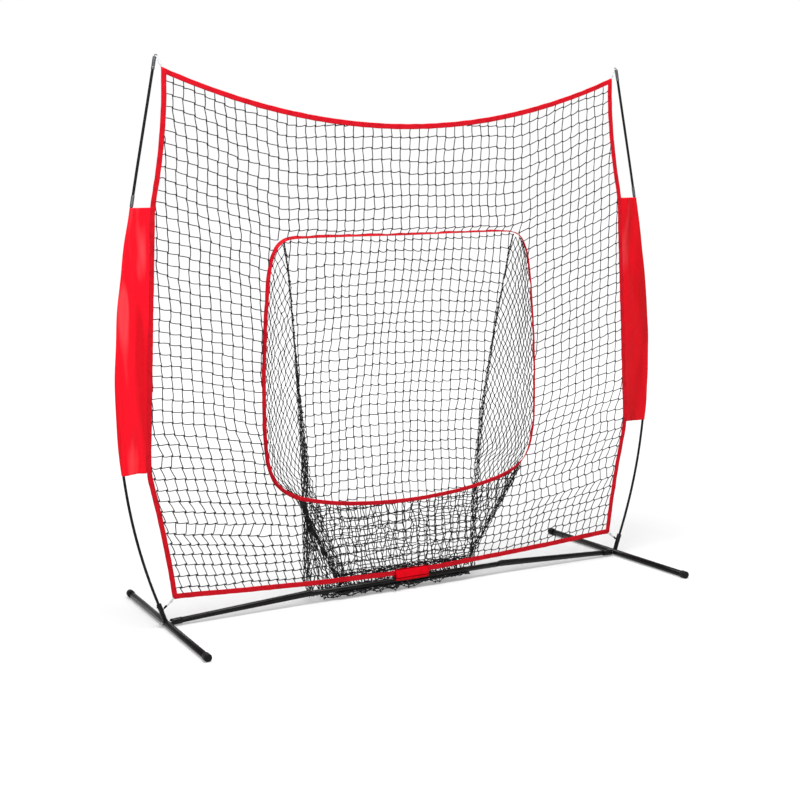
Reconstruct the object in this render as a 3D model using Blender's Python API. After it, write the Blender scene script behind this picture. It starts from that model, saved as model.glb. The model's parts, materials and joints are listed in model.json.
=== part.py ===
"""Pitching target net: a bow-pole frame on a steel base, a square net and a ball pocket.

Metres, +Z up, +X to the right seen from the front, +Y towards the back. The origin is on the ground,
midway between the two feet, and the net hangs in the plane y = 0.
"""
import math

import bmesh
import bpy
from mathutils import Matrix, Vector

# Base
HUB_X = 1.065            # foot centre line, 7 ft between the feet
FOOT_REACH = 0.478       # foot length to each side of the hub, caps included
FOOT_R = 0.0125
FOOT_TOE_OUT = math.radians(2.4)
TUBE_WALL = 0.0012
CAP_R = 0.0155
CAP_LENGTH = 0.030
CAP_END = 0.003          # thickness of a cap's end wall
CAP_BEVEL = 0.0015
CAP_SIDES = 20
BAR_R = 0.011
BAR_Z = 0.048            # height of the level middle of the crossbar
BEND_X = 0.445           # where the crossbar starts to slope down
PLUG_LENGTH = 0.055
STUB_R = 0.0130
STUB_INNER_X = 1.001
STUB_OUTER_X = 1.0455
STUB_PLUG_LENGTH = 0.024
BOLT_R = 0.004
BOLT_HEAD_AT = 0.0375    # from the hub to the bolt's inner end
BOLT_TAIL_AT = 0.0275    # from the hub to its outer end
NUT_R = 0.0075
NUT_THICKNESS = 0.0065

# Snap buttons
BUTTON_X = 0.418
BUTTON_R = 0.004
BUTTON_STANDS_OUT = 0.0035
BUTTON_TRAVEL = 0.0035
BUTTON_FLANGE_R = 0.005
BUTTON_FLANGE_DROP = 0.006       # from the bar's axis down to the flange
BUTTON_FLANGE_THICKNESS = 0.0012
BUTTON_PLAY = 0.0005
SPRING_WIDTH = 0.006
SPRING_THICKNESS = 0.0006
SPRING_REACH = 0.016     # from the button to the spring's bend
SPRING_HIGH_LEG = 0.0066         # from the bar's axis up to the upper leg

# Pole sockets
SOCKET_R = 0.0095
SOCKET_BASE = 0.006      # distances from the hub along the leaning axis
SOCKET_MOUTH = 0.084
SOCKET_HOOK_AT = 0.052
SOCKET_RIVET_AT = 0.074

# Bow poles
POLE_R = 0.0053
FERRULE_R = 0.0066
POLE_FOOT = 0.022        # distance of a pole's lower end from the hub
POLE_TOP_Z = 2.140
TIP_LENGTH = 0.046
TIP_R = 0.0066
LOWER_JOINT_Z = 0.770
UPPER_JOINT_Z = 1.620
FERRULE_HALF = 0.020
BOW_START_Z = 0.09
BOW_START_X = 1.092
BOW_START_SLOPE = 0.375
BOW_END_Z = 1.80
BOW_END_SLOPE = -0.201
BOW_POWER = 1.74

# Net
NET_THICKNESS = 0.0016
TAPE_WIDTH = 0.021
TAPE_THICKNESS = 0.0022
TAPE_JOINT = 0.0015      # gap between a side tape and a level tape's end
CORNER_LOW = (1.035, 0.106)
SLEEVE_LOW = (1.126, 0.605)
SLEEVE_HIGH = (1.077, 1.600)
CORNER_HIGH = (1.017, 2.105)
LOW_EDGE_BOW = -0.007
HIGH_EDGE_BOW = -0.0155
TOP_SAG_Z = 1.905
BOTTOM_SAG_Z = 0.062
SLEEVE_BORE = 0.0079
SLEEVE_RING = 0.0098
SLEEVE_THICKNESS = 0.003
SLEEVE_ENDS = (0.606, 1.596)
OPENING = (               # right half of the opening's edge, (x, z), from the top centre down
    (0.0, 1.468), (0.49, 1.468), (0.557, 1.443), (0.592, 1.379), (0.612, 1.233), (0.630, 0.970),
    (0.632, 0.700), (0.618, 0.575), (0.585, 0.500), (0.515, 0.448), (0.405, 0.415), (0.240, 0.388),
    (0.0, 0.375),
)
BINDING_FRONT_Y = 0.0016
BINDING_BACK_Y = 0.0195
BINDING_THICKNESS = 0.002
POCKET_FRONT_Y = 0.0225
POCKET_TOP_Z = 1.452
POCKET_BOTTOM_Z = 0.012
POCKET_THICKNESS = 0.002
POCKET_BULGE = 0.018     # how far the back panel bellies behind its side seams
SEAM_DEPTH = 0.0875      # of the side seams where the pocket is deepest
SEAM_LOW_Z = 0.50        # height where the pocket is deepest
SEAM_TOP_X = 0.530
SEAM_LOW_X = 0.408
CORD_R = 0.0015
HOOK_R = 0.0014
SOCKET_HOOK_BEND_R = 0.0045
TIP_HOOK_BEND_R = 0.0042
TIP_HOOK_STEM = 0.003

# Centre strap
STRAP_X = 0.015
STRAP_HALF_WIDTH = 0.078
STRAP_THICKNESS = 0.0014
STRAP_TOP = (0.0056, 0.088)      # y, z
STRAP_WRAP_DEG = (28, -180)      # the strap's turn round the crossbar
FLAP_HINGE = (-0.0128, 0.0530)   # y, z
FLAP_TOP = (-0.0062, 0.0860)     # y, z

GAP = 0.0003
ROUND = 16
CURVE_STEPS = 2          # points on each stretch of the opening's edge
SIDES = (("left", -1), ("right", 1))

FOOT_Z = CAP_R * math.cos(math.pi / CAP_SIDES)


# ---------------------------------------------------------------- scene and materials

def clear_scene():
    for obj in list(bpy.data.objects):
        bpy.data.objects.remove(obj, do_unlink=True)


def make_material(name, colour, roughness, metallic=0.0):
    mat = bpy.data.materials.new(name)
    mat.use_nodes = True
    shader = mat.node_tree.nodes["Principled BSDF"]
    shader.inputs["Base Color"].default_value = (*colour, 1.0)
    shader.inputs["Roughness"].default_value = roughness
    shader.inputs["Metallic"].default_value = metallic
    return mat


LOOKS = {
    "black_steel": ((0.020, 0.019, 0.021), 0.35, 0.0),
    "black_plastic": ((0.012, 0.012, 0.013), 0.50, 0.0),
    "fibreglass": ((0.015, 0.015, 0.016), 0.40, 0.0),
    "zinc_steel": ((0.55, 0.56, 0.58), 0.35, 1.0),
    "red_nylon": ((0.78, 0.010, 0.022), 0.45, 0.0),
    "black_twine": ((0.018, 0.018, 0.020), 0.80, 0.0),
    "white_elastic": ((0.85, 0.85, 0.83), 0.60, 0.0),
}


# ---------------------------------------------------------------- mesh helpers

def new_object(name, look, bm, smooth_angle=35):
    bmesh.ops.recalc_face_normals(bm, faces=bm.faces)
    mesh = bpy.data.meshes.new(name)
    bm.to_mesh(mesh)
    bm.free()
    colour, roughness, metallic = LOOKS[look]
    mesh.materials.append(make_material(name + "_finish", colour, roughness, metallic))
    mesh.shade_smooth()
    mesh.set_sharp_from_angle(angle=math.radians(smooth_angle))
    obj = bpy.data.objects.new(name, mesh)
    bpy.context.scene.collection.objects.link(obj)
    return obj


def skin_rings(bm, rings, closed_loop):
    """Join rings of equal point count. closed_loop joins the last to the first, or else ends are capped."""
    rows = [[bm.verts.new(p) for p in ring] for ring in rings]
    count = len(rows[0])
    pairs = list(zip(rows, rows[1:]))
    if closed_loop:
        pairs.append((rows[-1], rows[0]))
    for low, high in pairs:
        for i in range(count):
            j = (i + 1) % count
            bm.faces.new((low[i], low[j], high[j], high[i]))
    if not closed_loop:
        bm.faces.new(rows[0])
        bm.faces.new(rows[-1])


def path_frames(path):
    """A tangent and two normals at each point of an open path, without twist."""
    points = [Vector(p) for p in path]
    frames = []
    for i, point in enumerate(points):
        before = points[max(i - 1, 0)]
        after = points[min(i + 1, len(points) - 1)]
        tangent = (after - before).normalized()
        hint = Vector((0, 1, 0)) if abs(tangent.y) < 0.9 else Vector((0, 0, 1))
        side = tangent.cross(hint).normalized()
        frames.append((point, tangent, side, tangent.cross(side)))
    return frames


def round_ring(frame, radius, sides, turn=0.0):
    point, _, side, up = frame
    angles = [turn + 2 * math.pi * i / sides for i in range(sides)]
    return [point + radius * (math.cos(a) * side + math.sin(a) * up) for a in angles]


def rod(name, look, path, radius, sides=ROUND):
    """A solid round bar. radius is one number, or one for each point of the path."""
    radii = radius if isinstance(radius, (list, tuple)) else [radius] * len(path)
    rings = [round_ring(f, r, sides) for f, r in zip(path_frames(path), radii)]
    bm = bmesh.new()
    skin_rings(bm, rings, closed_loop=False)
    return new_object(name, look, bm)


def tube(name, look, path, outer, inner, sides=ROUND):
    """A round tube, open at both ends. outer and inner are radii, or one for each point of the path."""
    outers = outer if isinstance(outer, (list, tuple)) else [outer] * len(path)
    inners = inner if isinstance(inner, (list, tuple)) else [inner] * len(path)
    frames = path_frames(path)
    rings = [round_ring(f, r, sides) for f, r in zip(frames, outers)]
    rings += [round_ring(f, r, sides) for f, r in reversed(list(zip(frames, inners)))]
    bm = bmesh.new()
    skin_rings(bm, rings, closed_loop=True)
    return new_object(name, look, bm)


def drill(target, centre, direction, radius, length):
    """Cut a round hole through the target with a hidden cutter."""
    bm = bmesh.new()
    turn = Vector(direction).to_track_quat("Z", "Y").to_matrix().to_4x4()
    bmesh.ops.create_cone(
        bm, cap_ends=True, segments=ROUND, radius1=radius, radius2=radius, depth=length,
        matrix=Matrix.Translation(centre) @ turn,
    )
    cutter = new_object(target.name + "_cutter", "black_steel", bm)
    cutter.hide_render = True
    cutter.display_type = "WIRE"
    cut = target.modifiers.new("hole", "BOOLEAN")
    cut.operation = "DIFFERENCE"
    cut.object = cutter


def strip(name, look, outer, inner, front_y, back_y):
    """A flat band between two (x, z) outlines of equal length."""
    rings = []
    for (xo, zo), (xi, zi) in zip(outer, inner):
        rings.append([(xo, front_y, zo), (xi, front_y, zi), (xi, back_y, zi), (xo, back_y, zo)])
    bm = bmesh.new()
    skin_rings(bm, rings, closed_loop=False)
    return new_object(name, look, bm)


def spread(start, end, count):
    return [start + (end - start) * i / (count - 1) for i in range(count)]


def catmull(points):
    """A smooth line through (x, z) points that starts and ends level."""
    (x0, z0), (x1, z1) = points[0], points[-1]
    ends = [(-points[1][0], points[1][1])] + list(points) + [(-points[-2][0], points[-2][1])]
    line = []
    for p0, p1, p2, p3 in zip(ends, ends[1:], ends[2:], ends[3:]):
        count = CURVE_STEPS if math.dist(p1, p2) > 0.03 else 1
        for i in range(count):
            t = i / count
            line.append(tuple(
                0.5 * (2 * b + (c - a) * t + (2 * a - 5 * b + 4 * c - d) * t * t
                       + (3 * b - a - 3 * c + d) * t ** 3)
                for a, b, c, d in zip(p0, p1, p2, p3)))
    line.append((x1, z1))
    return line


# ---------------------------------------------------------------- governing curves

def bow_x(z):
    """Pole centre line: straight up from the socket, then bending back towards the net."""
    rise = z - BOW_START_Z
    if rise <= 0:
        return BOW_START_X + BOW_START_SLOPE * rise
    span = BOW_END_Z - BOW_START_Z
    left = 1 - min(rise / span, 1.0)
    swing = (BOW_START_SLOPE - BOW_END_SLOPE) * span / (BOW_POWER + 1)
    return BOW_START_X + BOW_END_SLOPE * rise + swing * (1 - left ** (BOW_POWER + 1))


def lean_axis(side):
    """Foot of the leaning socket axis, on the foot tube's centre line, and the axis direction."""
    start = Vector((side * bow_x(FOOT_Z), 0, FOOT_Z))
    return start, Vector((side * BOW_START_SLOPE, 0, 1)).normalized()


def bowed(start, end, bow, z):
    """x on a line between two (x, z) points that bows sideways by `bow` in its middle."""
    u = (z - start[1]) / (end[1] - start[1])
    return start[0] + (end[0] - start[0]) * u + bow * 4 * u * (1 - u)


def side_edge_x(z):
    """Outer edge of the net's side tape."""
    if z < SLEEVE_LOW[1]:
        return bowed(CORNER_LOW, SLEEVE_LOW, LOW_EDGE_BOW, z)
    if z < SLEEVE_HIGH[1]:
        return bowed(SLEEVE_LOW, SLEEVE_HIGH, 0.0, z)
    return bowed(SLEEVE_HIGH, CORNER_HIGH, HIGH_EDGE_BOW, z)


def top_edge_z(x):
    return TOP_SAG_Z + (CORNER_HIGH[1] - TOP_SAG_Z) * (x / CORNER_HIGH[0]) ** 2


def bottom_edge_z(x):
    return BOTTOM_SAG_Z + (CORNER_LOW[1] - BOTTOM_SAG_Z) * abs(x / CORNER_LOW[0]) ** 1.5


def seam_at(z):
    """Half width and depth of the pocket's back panel at height z."""
    if z > SEAM_LOW_Z:
        drop = min((POCKET_TOP_Z - z) / (POCKET_TOP_Z - SEAM_LOW_Z), 1.0)
        half = SEAM_TOP_X - (SEAM_TOP_X - SEAM_LOW_X) * drop ** 0.8
        return half, POCKET_FRONT_Y + SEAM_DEPTH * math.sin(0.5 * math.pi * drop) ** 1.2
    fall = (SEAM_LOW_Z - z) / 0.4
    return SEAM_LOW_X - 0.105 * fall ** 1.6, POCKET_FRONT_Y + SEAM_DEPTH - 0.048 * fall ** 2


# ---------------------------------------------------------------- base

def bar_point(side, x):
    """A point on the crossbar's sloping stretch."""
    u = (x - BEND_X) / (HUB_X - BEND_X)
    return (side * x, 0, BAR_Z + (FOOT_Z - BAR_Z) * u)


def build_crossbar():
    """Centre tube and two arms, whose plugs run into it and carry the snap buttons."""
    end = BEND_X - 0.002
    centre = tube("crossbar_centre_tube", "black_steel", [(-end, 0, BAR_Z), (end, 0, BAR_Z)], BAR_R,
                  BAR_R - TUBE_WALL)
    plug_r = BAR_R - TUBE_WALL - GAP
    plug_bore = plug_r - TUBE_WALL
    arm_bore = BAR_R - TUBE_WALL
    hole_r = BUTTON_R + BUTTON_PLAY
    for side_name, side in SIDES:
        reach = STUB_OUTER_X - STUB_PLUG_LENGTH - 0.002
        path = [(side * (BEND_X - PLUG_LENGTH), 0, BAR_Z), (side * (BEND_X - 0.0012), 0, BAR_Z),
                (side * (BEND_X - 0.0010), 0, BAR_Z), bar_point(side, BEND_X + 0.01),
                bar_point(side, reach)]
        arm = tube(f"crossbar_{side_name}_tube", "black_steel", path, [plug_r, plug_r, BAR_R, BAR_R, BAR_R],
                   [plug_bore, plug_bore, plug_bore, arm_bore, arm_bore])
        drill(arm, (side * BUTTON_X, 0, BAR_Z - BAR_R + TUBE_WALL), (0, 0, 1), hole_r, 5 * TUBE_WALL)
        drill(centre, (side * BUTTON_X, 0, BAR_Z - BAR_R), (0, 0, 1), hole_r, 6 * TUBE_WALL)
        build_button(side_name, side)


def build_button(side_name, side):
    """Snap button and the leaf spring behind it, inside the plug joint."""
    x = side * BUTTON_X
    low = BAR_Z - BAR_R - BUTTON_STANDS_OUT
    flange_z = BAR_Z - BUTTON_FLANGE_DROP
    top_z = flange_z + BUTTON_FLANGE_THICKNESS
    path = [(x, 0, low), (x, 0, low + 0.001), (x, 0, flange_z - 0.0001), (x, 0, flange_z), (x, 0, top_z)]
    radii = [BUTTON_R - 0.001, BUTTON_R, BUTTON_R, BUTTON_FLANGE_R, BUTTON_FLANGE_R]
    rod(f"{side_name}_snap_button", "zinc_steel", path, radii)

    low_leg_z = top_z + BUTTON_TRAVEL + GAP
    high_leg_z = BAR_Z + SPRING_HIGH_LEG
    bend_r = 0.5 * (high_leg_z - low_leg_z)
    outline = [(x - side * 0.004, low_leg_z)]
    for i in range(7):
        angle = -0.5 * math.pi + math.pi * i / 6
        outline.append((x + side * (SPRING_REACH + bend_r * math.cos(angle)),
                        low_leg_z + bend_r * (1 + math.sin(angle))))
    outline.append((x - side * 0.006, high_leg_z))
    ribbon(f"{side_name}_button_spring", "zinc_steel", outline, SPRING_THICKNESS, -0.5 * SPRING_WIDTH,
           0.5 * SPRING_WIDTH, across="Y")


def ribbon(name, look, outline, thickness, low, high, across):
    """A bent strip: a line in one plane, thickened in that plane and extended across it."""
    count = len(outline)
    rings = []
    for i, (a, b) in enumerate(outline):
        before = outline[max(i - 1, 0)]
        after = outline[min(i + 1, count - 1)]
        da, db = after[0] - before[0], after[1] - before[1]
        size = math.hypot(da, db)
        na, nb = -db / size * 0.5 * thickness, da / size * 0.5 * thickness
        near, far = (a + na, b + nb), (a - na, b - nb)
        corners = ((*near, low), (*far, low), (*far, high), (*near, high))
        if across == "Y":
            rings.append([(p, s, q) for p, q, s in corners])
        else:
            rings.append([(s, p, q) for p, q, s in corners])
    bm = bmesh.new()
    skin_rings(bm, rings, closed_loop=False)
    return new_object(name, look, bm)


def build_foot(side_name, side):
    """Foot tube with its two end caps, toed out at the front."""
    along = Vector((side * math.sin(FOOT_TOE_OUT), -math.cos(FOOT_TOE_OUT), 0))
    hub = Vector((side * HUB_X, 0, FOOT_Z))
    tube_reach = FOOT_REACH - CAP_END - GAP
    foot = tube(f"{side_name}_foot_tube", "black_steel",
                [hub - along * tube_reach, hub + along * tube_reach], FOOT_R, FOOT_R - TUBE_WALL,
                sides=CAP_SIDES)
    drill(foot, hub, bolt_direction(side), BOLT_R + 0.0004, 4 * FOOT_R)
    for end_name, end in (("front", 1), ("rear", -1)):
        mouth = hub + along * end * (FOOT_REACH - CAP_LENGTH)
        floor = hub + along * end * (FOOT_REACH - CAP_END)
        tip = hub + along * end * FOOT_REACH
        bevel = along * end * CAP_BEVEL
        frames = path_frames([mouth, mouth + bevel, tip - bevel, tip])
        bore = path_frames([mouth, floor])
        facet = math.pi / CAP_SIDES
        rings = [round_ring(f, FOOT_R + GAP, CAP_SIDES, facet) for f in reversed(bore)]
        radii = (CAP_R - 0.0012, CAP_R, CAP_R, CAP_R - 0.0015)
        rings += [round_ring(f, r, CAP_SIDES, facet) for f, r in zip(frames, radii)]
        bm = bmesh.new()
        skin_rings(bm, rings, closed_loop=False)
        new_object(f"{side_name}_{end_name}_foot_cap", "black_plastic", bm)


def bolt_direction(side):
    inner = Vector(bar_point(side, BEND_X))
    return (Vector((side * HUB_X, 0, FOOT_Z)) - inner).normalized()


def build_hub(side_name, side):
    """Stub sleeve over the crossbar's end, its welded plug, and the bolt that holds the foot."""
    tube(f"{side_name}_stub_sleeve", "black_steel",
         [bar_point(side, STUB_INNER_X), bar_point(side, STUB_OUTER_X)], STUB_R, BAR_R + GAP)
    tube(f"{side_name}_stub_plug", "black_steel",
         [bar_point(side, STUB_OUTER_X - STUB_PLUG_LENGTH), bar_point(side, STUB_OUTER_X - 0.001)],
         BAR_R - GAP, BOLT_R + GAP)
    hub = Vector((side * HUB_X, 0, FOOT_Z))
    out = bolt_direction(side)
    rod(f"{side_name}_foot_bolt", "zinc_steel",
        [hub - out * BOLT_HEAD_AT, hub, hub + out * (BOLT_TAIL_AT - 0.001), hub + out * BOLT_TAIL_AT],
        [BOLT_R, BOLT_R, BOLT_R, BOLT_R - 0.001])
    near = FOOT_R + 0.0008
    nut = tube(f"{side_name}_foot_nut", "zinc_steel",
               [hub + out * near, hub + out * (near + NUT_THICKNESS)], NUT_R,
               (BOLT_R + GAP) / math.cos(math.pi / 6), sides=6)
    nut.data.polygons.foreach_set("use_smooth", [False] * len(nut.data.polygons))


def build_socket(side_name, side):
    """Leaning pole socket welded on the foot, with its rivet and cord hook."""
    start, up = lean_axis(side)
    socket = tube(f"{side_name}_pole_socket", "black_steel",
                  [start + up * SOCKET_BASE, start + up * (SOCKET_MOUTH - 0.003),
                   start + up * SOCKET_MOUTH],
                  [SOCKET_R, SOCKET_R, SOCKET_R - 0.0003], SOCKET_R - TUBE_WALL)
    along = Vector((side * math.sin(FOOT_TOE_OUT), -math.cos(FOOT_TOE_OUT), 0))
    drill(socket, (side * HUB_X, 0, FOOT_Z), along, FOOT_R + GAP, 0.06)

    outward = Vector((side * up.z, 0, -side * up.x))
    wall = start + outward * (SOCKET_R + GAP)
    rivet = wall + up * SOCKET_RIVET_AT
    rod(f"{side_name}_socket_rivet", "black_steel",
        [rivet, rivet + outward * 0.0015, rivet + outward * 0.0026], [0.0032, 0.0030, 0.0016], sides=12)
    root = start - outward * (SOCKET_R + GAP) + up * SOCKET_HOOK_AT
    path = [root]
    centre = root - outward * 0.004 + up * SOCKET_HOOK_BEND_R
    for i in range(7):
        angle = math.radians(162) * i / 6
        path.append(centre - SOCKET_HOOK_BEND_R * (outward * math.sin(angle) + up * math.cos(angle)))
    rod(f"{side_name}_cord_hook", "black_plastic", path, HOOK_R, sides=8)


def build_strap():
    """Hook-and-loop strap: up behind the net, round under the crossbar, with a flap in front."""
    wrap_r = BAR_R + 0.0006 + 0.5 * STRAP_THICKNESS
    outline = [STRAP_TOP]
    for degrees in spread(*STRAP_WRAP_DEG, 13):
        angle = math.radians(degrees)
        outline.append((wrap_r * math.cos(angle), BAR_Z + wrap_r * math.sin(angle)))
    outline.append((-wrap_r, BAR_Z + 0.0028))
    ribbon("centre_strap", "red_nylon", outline, STRAP_THICKNESS, STRAP_X - STRAP_HALF_WIDTH,
           STRAP_X + STRAP_HALF_WIDTH, across="X")

    hinge = bpy.data.objects.new("strap_flap_hinge", None)
    hinge.location = (STRAP_X, *FLAP_HINGE)
    bpy.context.scene.collection.objects.link(hinge)
    rise = (FLAP_TOP[0] - FLAP_HINGE[0], FLAP_TOP[1] - FLAP_HINGE[1])
    flap = ribbon("strap_flap", "red_nylon", [(0.0, 0.0), (0.4 * rise[0], 0.5 * rise[1]), rise],
                  STRAP_THICKNESS, -STRAP_HALF_WIDTH, STRAP_HALF_WIDTH, across="X")
    flap.parent = hinge


# ---------------------------------------------------------------- bow poles

def bow_path(side, low_z, high_z, count):
    return [(side * bow_x(z), 0, z) for z in spread(low_z, high_z, count)]


def build_pole(side_name, side):
    """Three rod sections, two ferrules, the metal tip and its hook."""
    start, up = lean_axis(side)
    foot_z = (start + up * POLE_FOOT).z
    play = 0.0004
    rod(f"{side_name}_pole_lower", "fibreglass", bow_path(side, foot_z, LOWER_JOINT_Z - play, 12), POLE_R)
    rod(f"{side_name}_pole_middle", "fibreglass",
        bow_path(side, LOWER_JOINT_Z + play, UPPER_JOINT_Z - play, 13), POLE_R)
    rod(f"{side_name}_pole_upper", "fibreglass",
        bow_path(side, UPPER_JOINT_Z + play, POLE_TOP_Z - 0.003, 8), POLE_R)
    for joint_name, z in (("lower", LOWER_JOINT_Z), ("upper", UPPER_JOINT_Z)):
        tube(f"{side_name}_{joint_name}_ferrule", "zinc_steel",
             bow_path(side, z - FERRULE_HALF, z + FERRULE_HALF, 3), FERRULE_R, POLE_R + GAP)

    frames = path_frames(bow_path(side, POLE_TOP_Z - TIP_LENGTH, POLE_TOP_Z, 4))
    bore = path_frames(bow_path(side, POLE_TOP_Z - TIP_LENGTH, POLE_TOP_Z - 0.0025, 2))
    rings = [round_ring(f, POLE_R + GAP, ROUND) for f in reversed(bore)]
    rings += [round_ring(f, r, ROUND) for f, r in zip(frames, (TIP_R, TIP_R, TIP_R, TIP_R - 0.001))]
    bm = bmesh.new()
    skin_rings(bm, rings, closed_loop=False)
    new_object(f"{side_name}_pole_tip", "zinc_steel", bm)

    top = Vector((side * bow_x(POLE_TOP_Z), 0, POLE_TOP_Z + GAP))
    path = [top]
    for i in range(7):
        angle = math.radians(200) * i / 6
        path.append(top + Vector((-side * TIP_HOOK_BEND_R * (1 - math.cos(angle)), 0,
                                  TIP_HOOK_STEM + TIP_HOOK_BEND_R * math.sin(angle))))
    rod(f"{side_name}_tip_hook", "black_plastic", path, HOOK_R, sides=8)
    build_cords(side_name, side)


def build_cords(side_name, side):
    """Short elastic cords from the net's corners to the hooks."""
    tip_x = bow_x(POLE_TOP_Z)
    net_top = (side * (CORNER_HIGH[0] + 0.0030), 0, CORNER_HIGH[1] + 0.0015)
    rod(f"{side_name}_top_cord", "white_elastic",
        [net_top, (side * (tip_x - 0.0115), 0, POLE_TOP_Z - 0.004)], CORD_R, sides=8)

    start, up = lean_axis(side)
    outward = Vector((side * up.z, 0, -side * up.x))
    hook_end = start - outward * (SOCKET_R + 0.0135) + up * (SOCKET_HOOK_AT + 0.0075)
    net_low = (side * (CORNER_LOW[0] + 0.0022), 0, CORNER_LOW[1] - 0.0022)
    rod(f"{side_name}_bottom_cord", "white_elastic", [net_low, hook_end], CORD_R, sides=8)


# ---------------------------------------------------------------- net

def edge_heights():
    """Heights at which the net's side edge is drawn, with a corner at each end of the sleeve."""
    heights = spread(CORNER_LOW[1], SLEEVE_LOW[1], 6) + spread(SLEEVE_LOW[1], SLEEVE_HIGH[1], 4)[1:]
    return heights + spread(SLEEVE_HIGH[1], CORNER_HIGH[1], 7)[1:]


def build_tapes():
    front, back = -0.5 * TAPE_THICKNESS, 0.5 * TAPE_THICKNESS
    heights = edge_heights()
    for side_name, side in SIDES:
        outer = [(side * side_edge_x(z), z) for z in heights]
        inner = [(side * (side_edge_x(z) - TAPE_WIDTH), z) for z in heights]
        strip(f"{side_name}_side_tape", "red_nylon", outer, inner, front, back)
    span = CORNER_HIGH[0] - TAPE_WIDTH - TAPE_JOINT
    line = spread(-span, span, 25)
    strip("top_tape", "red_nylon", [(x, top_edge_z(x)) for x in line],
          [(x, top_edge_z(x) - TAPE_WIDTH) for x in line], front, back)
    span = CORNER_LOW[0] - TAPE_WIDTH - TAPE_JOINT
    line = spread(-span, span, 21)
    strip("bottom_tape", "red_nylon", [(x, bottom_edge_z(x)) for x in line],
          [(x, bottom_edge_z(x) + TAPE_WIDTH) for x in line], front, back)


def opening_loop():
    half = catmull(OPENING)
    return half + [(-x, z) for x, z in reversed(half[1:-1])]


def grow(loop, amount):
    """Move a closed (x, z) outline outwards."""
    grown = []
    for i, (x, z) in enumerate(loop):
        (xa, za), (xb, zb) = loop[i - 1], loop[(i + 1) % len(loop)]
        dx, dz = xb - xa, zb - za
        size = math.hypot(dx, dz)
        grown.append((x - dz / size * amount, z + dx / size * amount))
    return grown


def net_outline():
    inset = TAPE_WIDTH + GAP
    span = CORNER_LOW[0] - TAPE_WIDTH - TAPE_JOINT
    outline = [(x, bottom_edge_z(x) + inset) for x in spread(-span, span, 21)]
    heights = edge_heights()[1:-1]
    outline += [(side_edge_x(z) - inset, z) for z in heights]
    span = CORNER_HIGH[0] - TAPE_WIDTH - TAPE_JOINT
    outline += [(x, top_edge_z(x) - inset) for x in spread(span, -span, 25)]
    outline += [(-(side_edge_x(z) - inset), z) for z in reversed(heights)]
    return outline


def build_main_net():
    """Net sheet with the strike-zone opening cut out of it."""
    bm = bmesh.new()
    edges = []
    for loop in (net_outline(), grow(opening_loop(), 0.004)):
        verts = [bm.verts.new((x, -0.5 * NET_THICKNESS, z)) for x, z in loop]
        edges += [bm.edges.new(pair) for pair in zip(verts, verts[1:] + verts[:1])]
    bmesh.ops.triangle_fill(bm, use_beauty=True, use_dissolve=False, edges=edges)
    made = bmesh.ops.extrude_face_region(bm, geom=list(bm.faces))
    raised = [v for v in made["geom"] if isinstance(v, bmesh.types.BMVert)]
    bmesh.ops.translate(bm, verts=raised, vec=(0, NET_THICKNESS, 0))
    new_object("main_net", "black_twine", bm)


def build_binding():
    """Tape round the opening, its width running back from the net."""
    inside = grow(opening_loop(), -0.5 * BINDING_THICKNESS)
    outside = grow(opening_loop(), 0.5 * BINDING_THICKNESS)
    rings = []
    for (xi, zi), (xo, zo) in zip(inside, outside):
        rings.append([(xi, BINDING_FRONT_Y, zi), (xo, BINDING_FRONT_Y, zo),
                      (xo, BINDING_BACK_Y, zo), (xi, BINDING_BACK_Y, zi)])
    bm = bmesh.new()
    skin_rings(bm, rings, closed_loop=True)
    new_object("opening_binding", "red_nylon", bm)


def opening_half_width(z):
    """Half width of the opening at height z, on its side stretch."""
    line = catmull(OPENING)
    for (xa, za), (xb, zb) in zip(line, line[1:]):
        if za >= z >= zb and za > zb:
            return xa + (xb - xa) * (za - z) / (za - zb)
    return OPENING[-2][0]


def build_pocket():
    """Net sock behind the opening: a back panel, sloping sides and a closed bag below the opening."""
    hinge = bpy.data.objects.new("pocket_hinge", None)
    hinge.location = (0, 0, OPENING[0][1])
    bpy.context.scene.collection.objects.link(hinge)

    rim_z = OPENING[-1][1] + 0.010
    heights = [POCKET_TOP_Z, 1.36, 1.22, 1.02, 0.82, 0.66, 0.52, rim_z, 0.27, 0.16, 0.07, POCKET_BOTTOM_Z]
    bm = bmesh.new()
    rows = []
    for z in heights:
        half, depth = seam_at(z)
        bag = max(0.0, min(1.0, (rim_z - z) / 0.25))
        mouth = opening_half_width(max(z, 0.47))
        mouth += (half + 0.01 - mouth) * bag
        belly = POCKET_BULGE * math.sin(math.pi * min(1.0, (POCKET_TOP_Z - z) / 1.2))
        back = [(half * u, depth + belly * (1 - u * u)) for u in (-1, -0.5, 0, 0.5, 1)]
        front = [(mouth * u, POCKET_FRONT_Y) for u in (1, 0.5, 0, -0.5, -1)]
        rows.append([bm.verts.new((x, y, z - hinge.location.z)) for x, y in back + front])
    count = len(rows[0])
    for low, high, z in zip(rows, rows[1:], heights):
        for i in range(count):
            j = (i + 1) % count
            is_front = 5 <= i <= 8
            if is_front and z > rim_z - 0.001:
                continue
            bm.faces.new((low[i], low[j], high[j], high[i]))
    bm.faces.new(rows[-1])
    loose = [v for v in bm.verts if not v.link_faces]
    bmesh.ops.delete(bm, geom=loose, context="VERTS")
    pocket = new_object("ball_pocket", "black_twine", bm)
    shell = pocket.modifiers.new("thickness", "SOLIDIFY")
    shell.thickness = POCKET_THICKNESS
    shell.offset = -1.0
    pocket.parent = hinge


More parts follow.
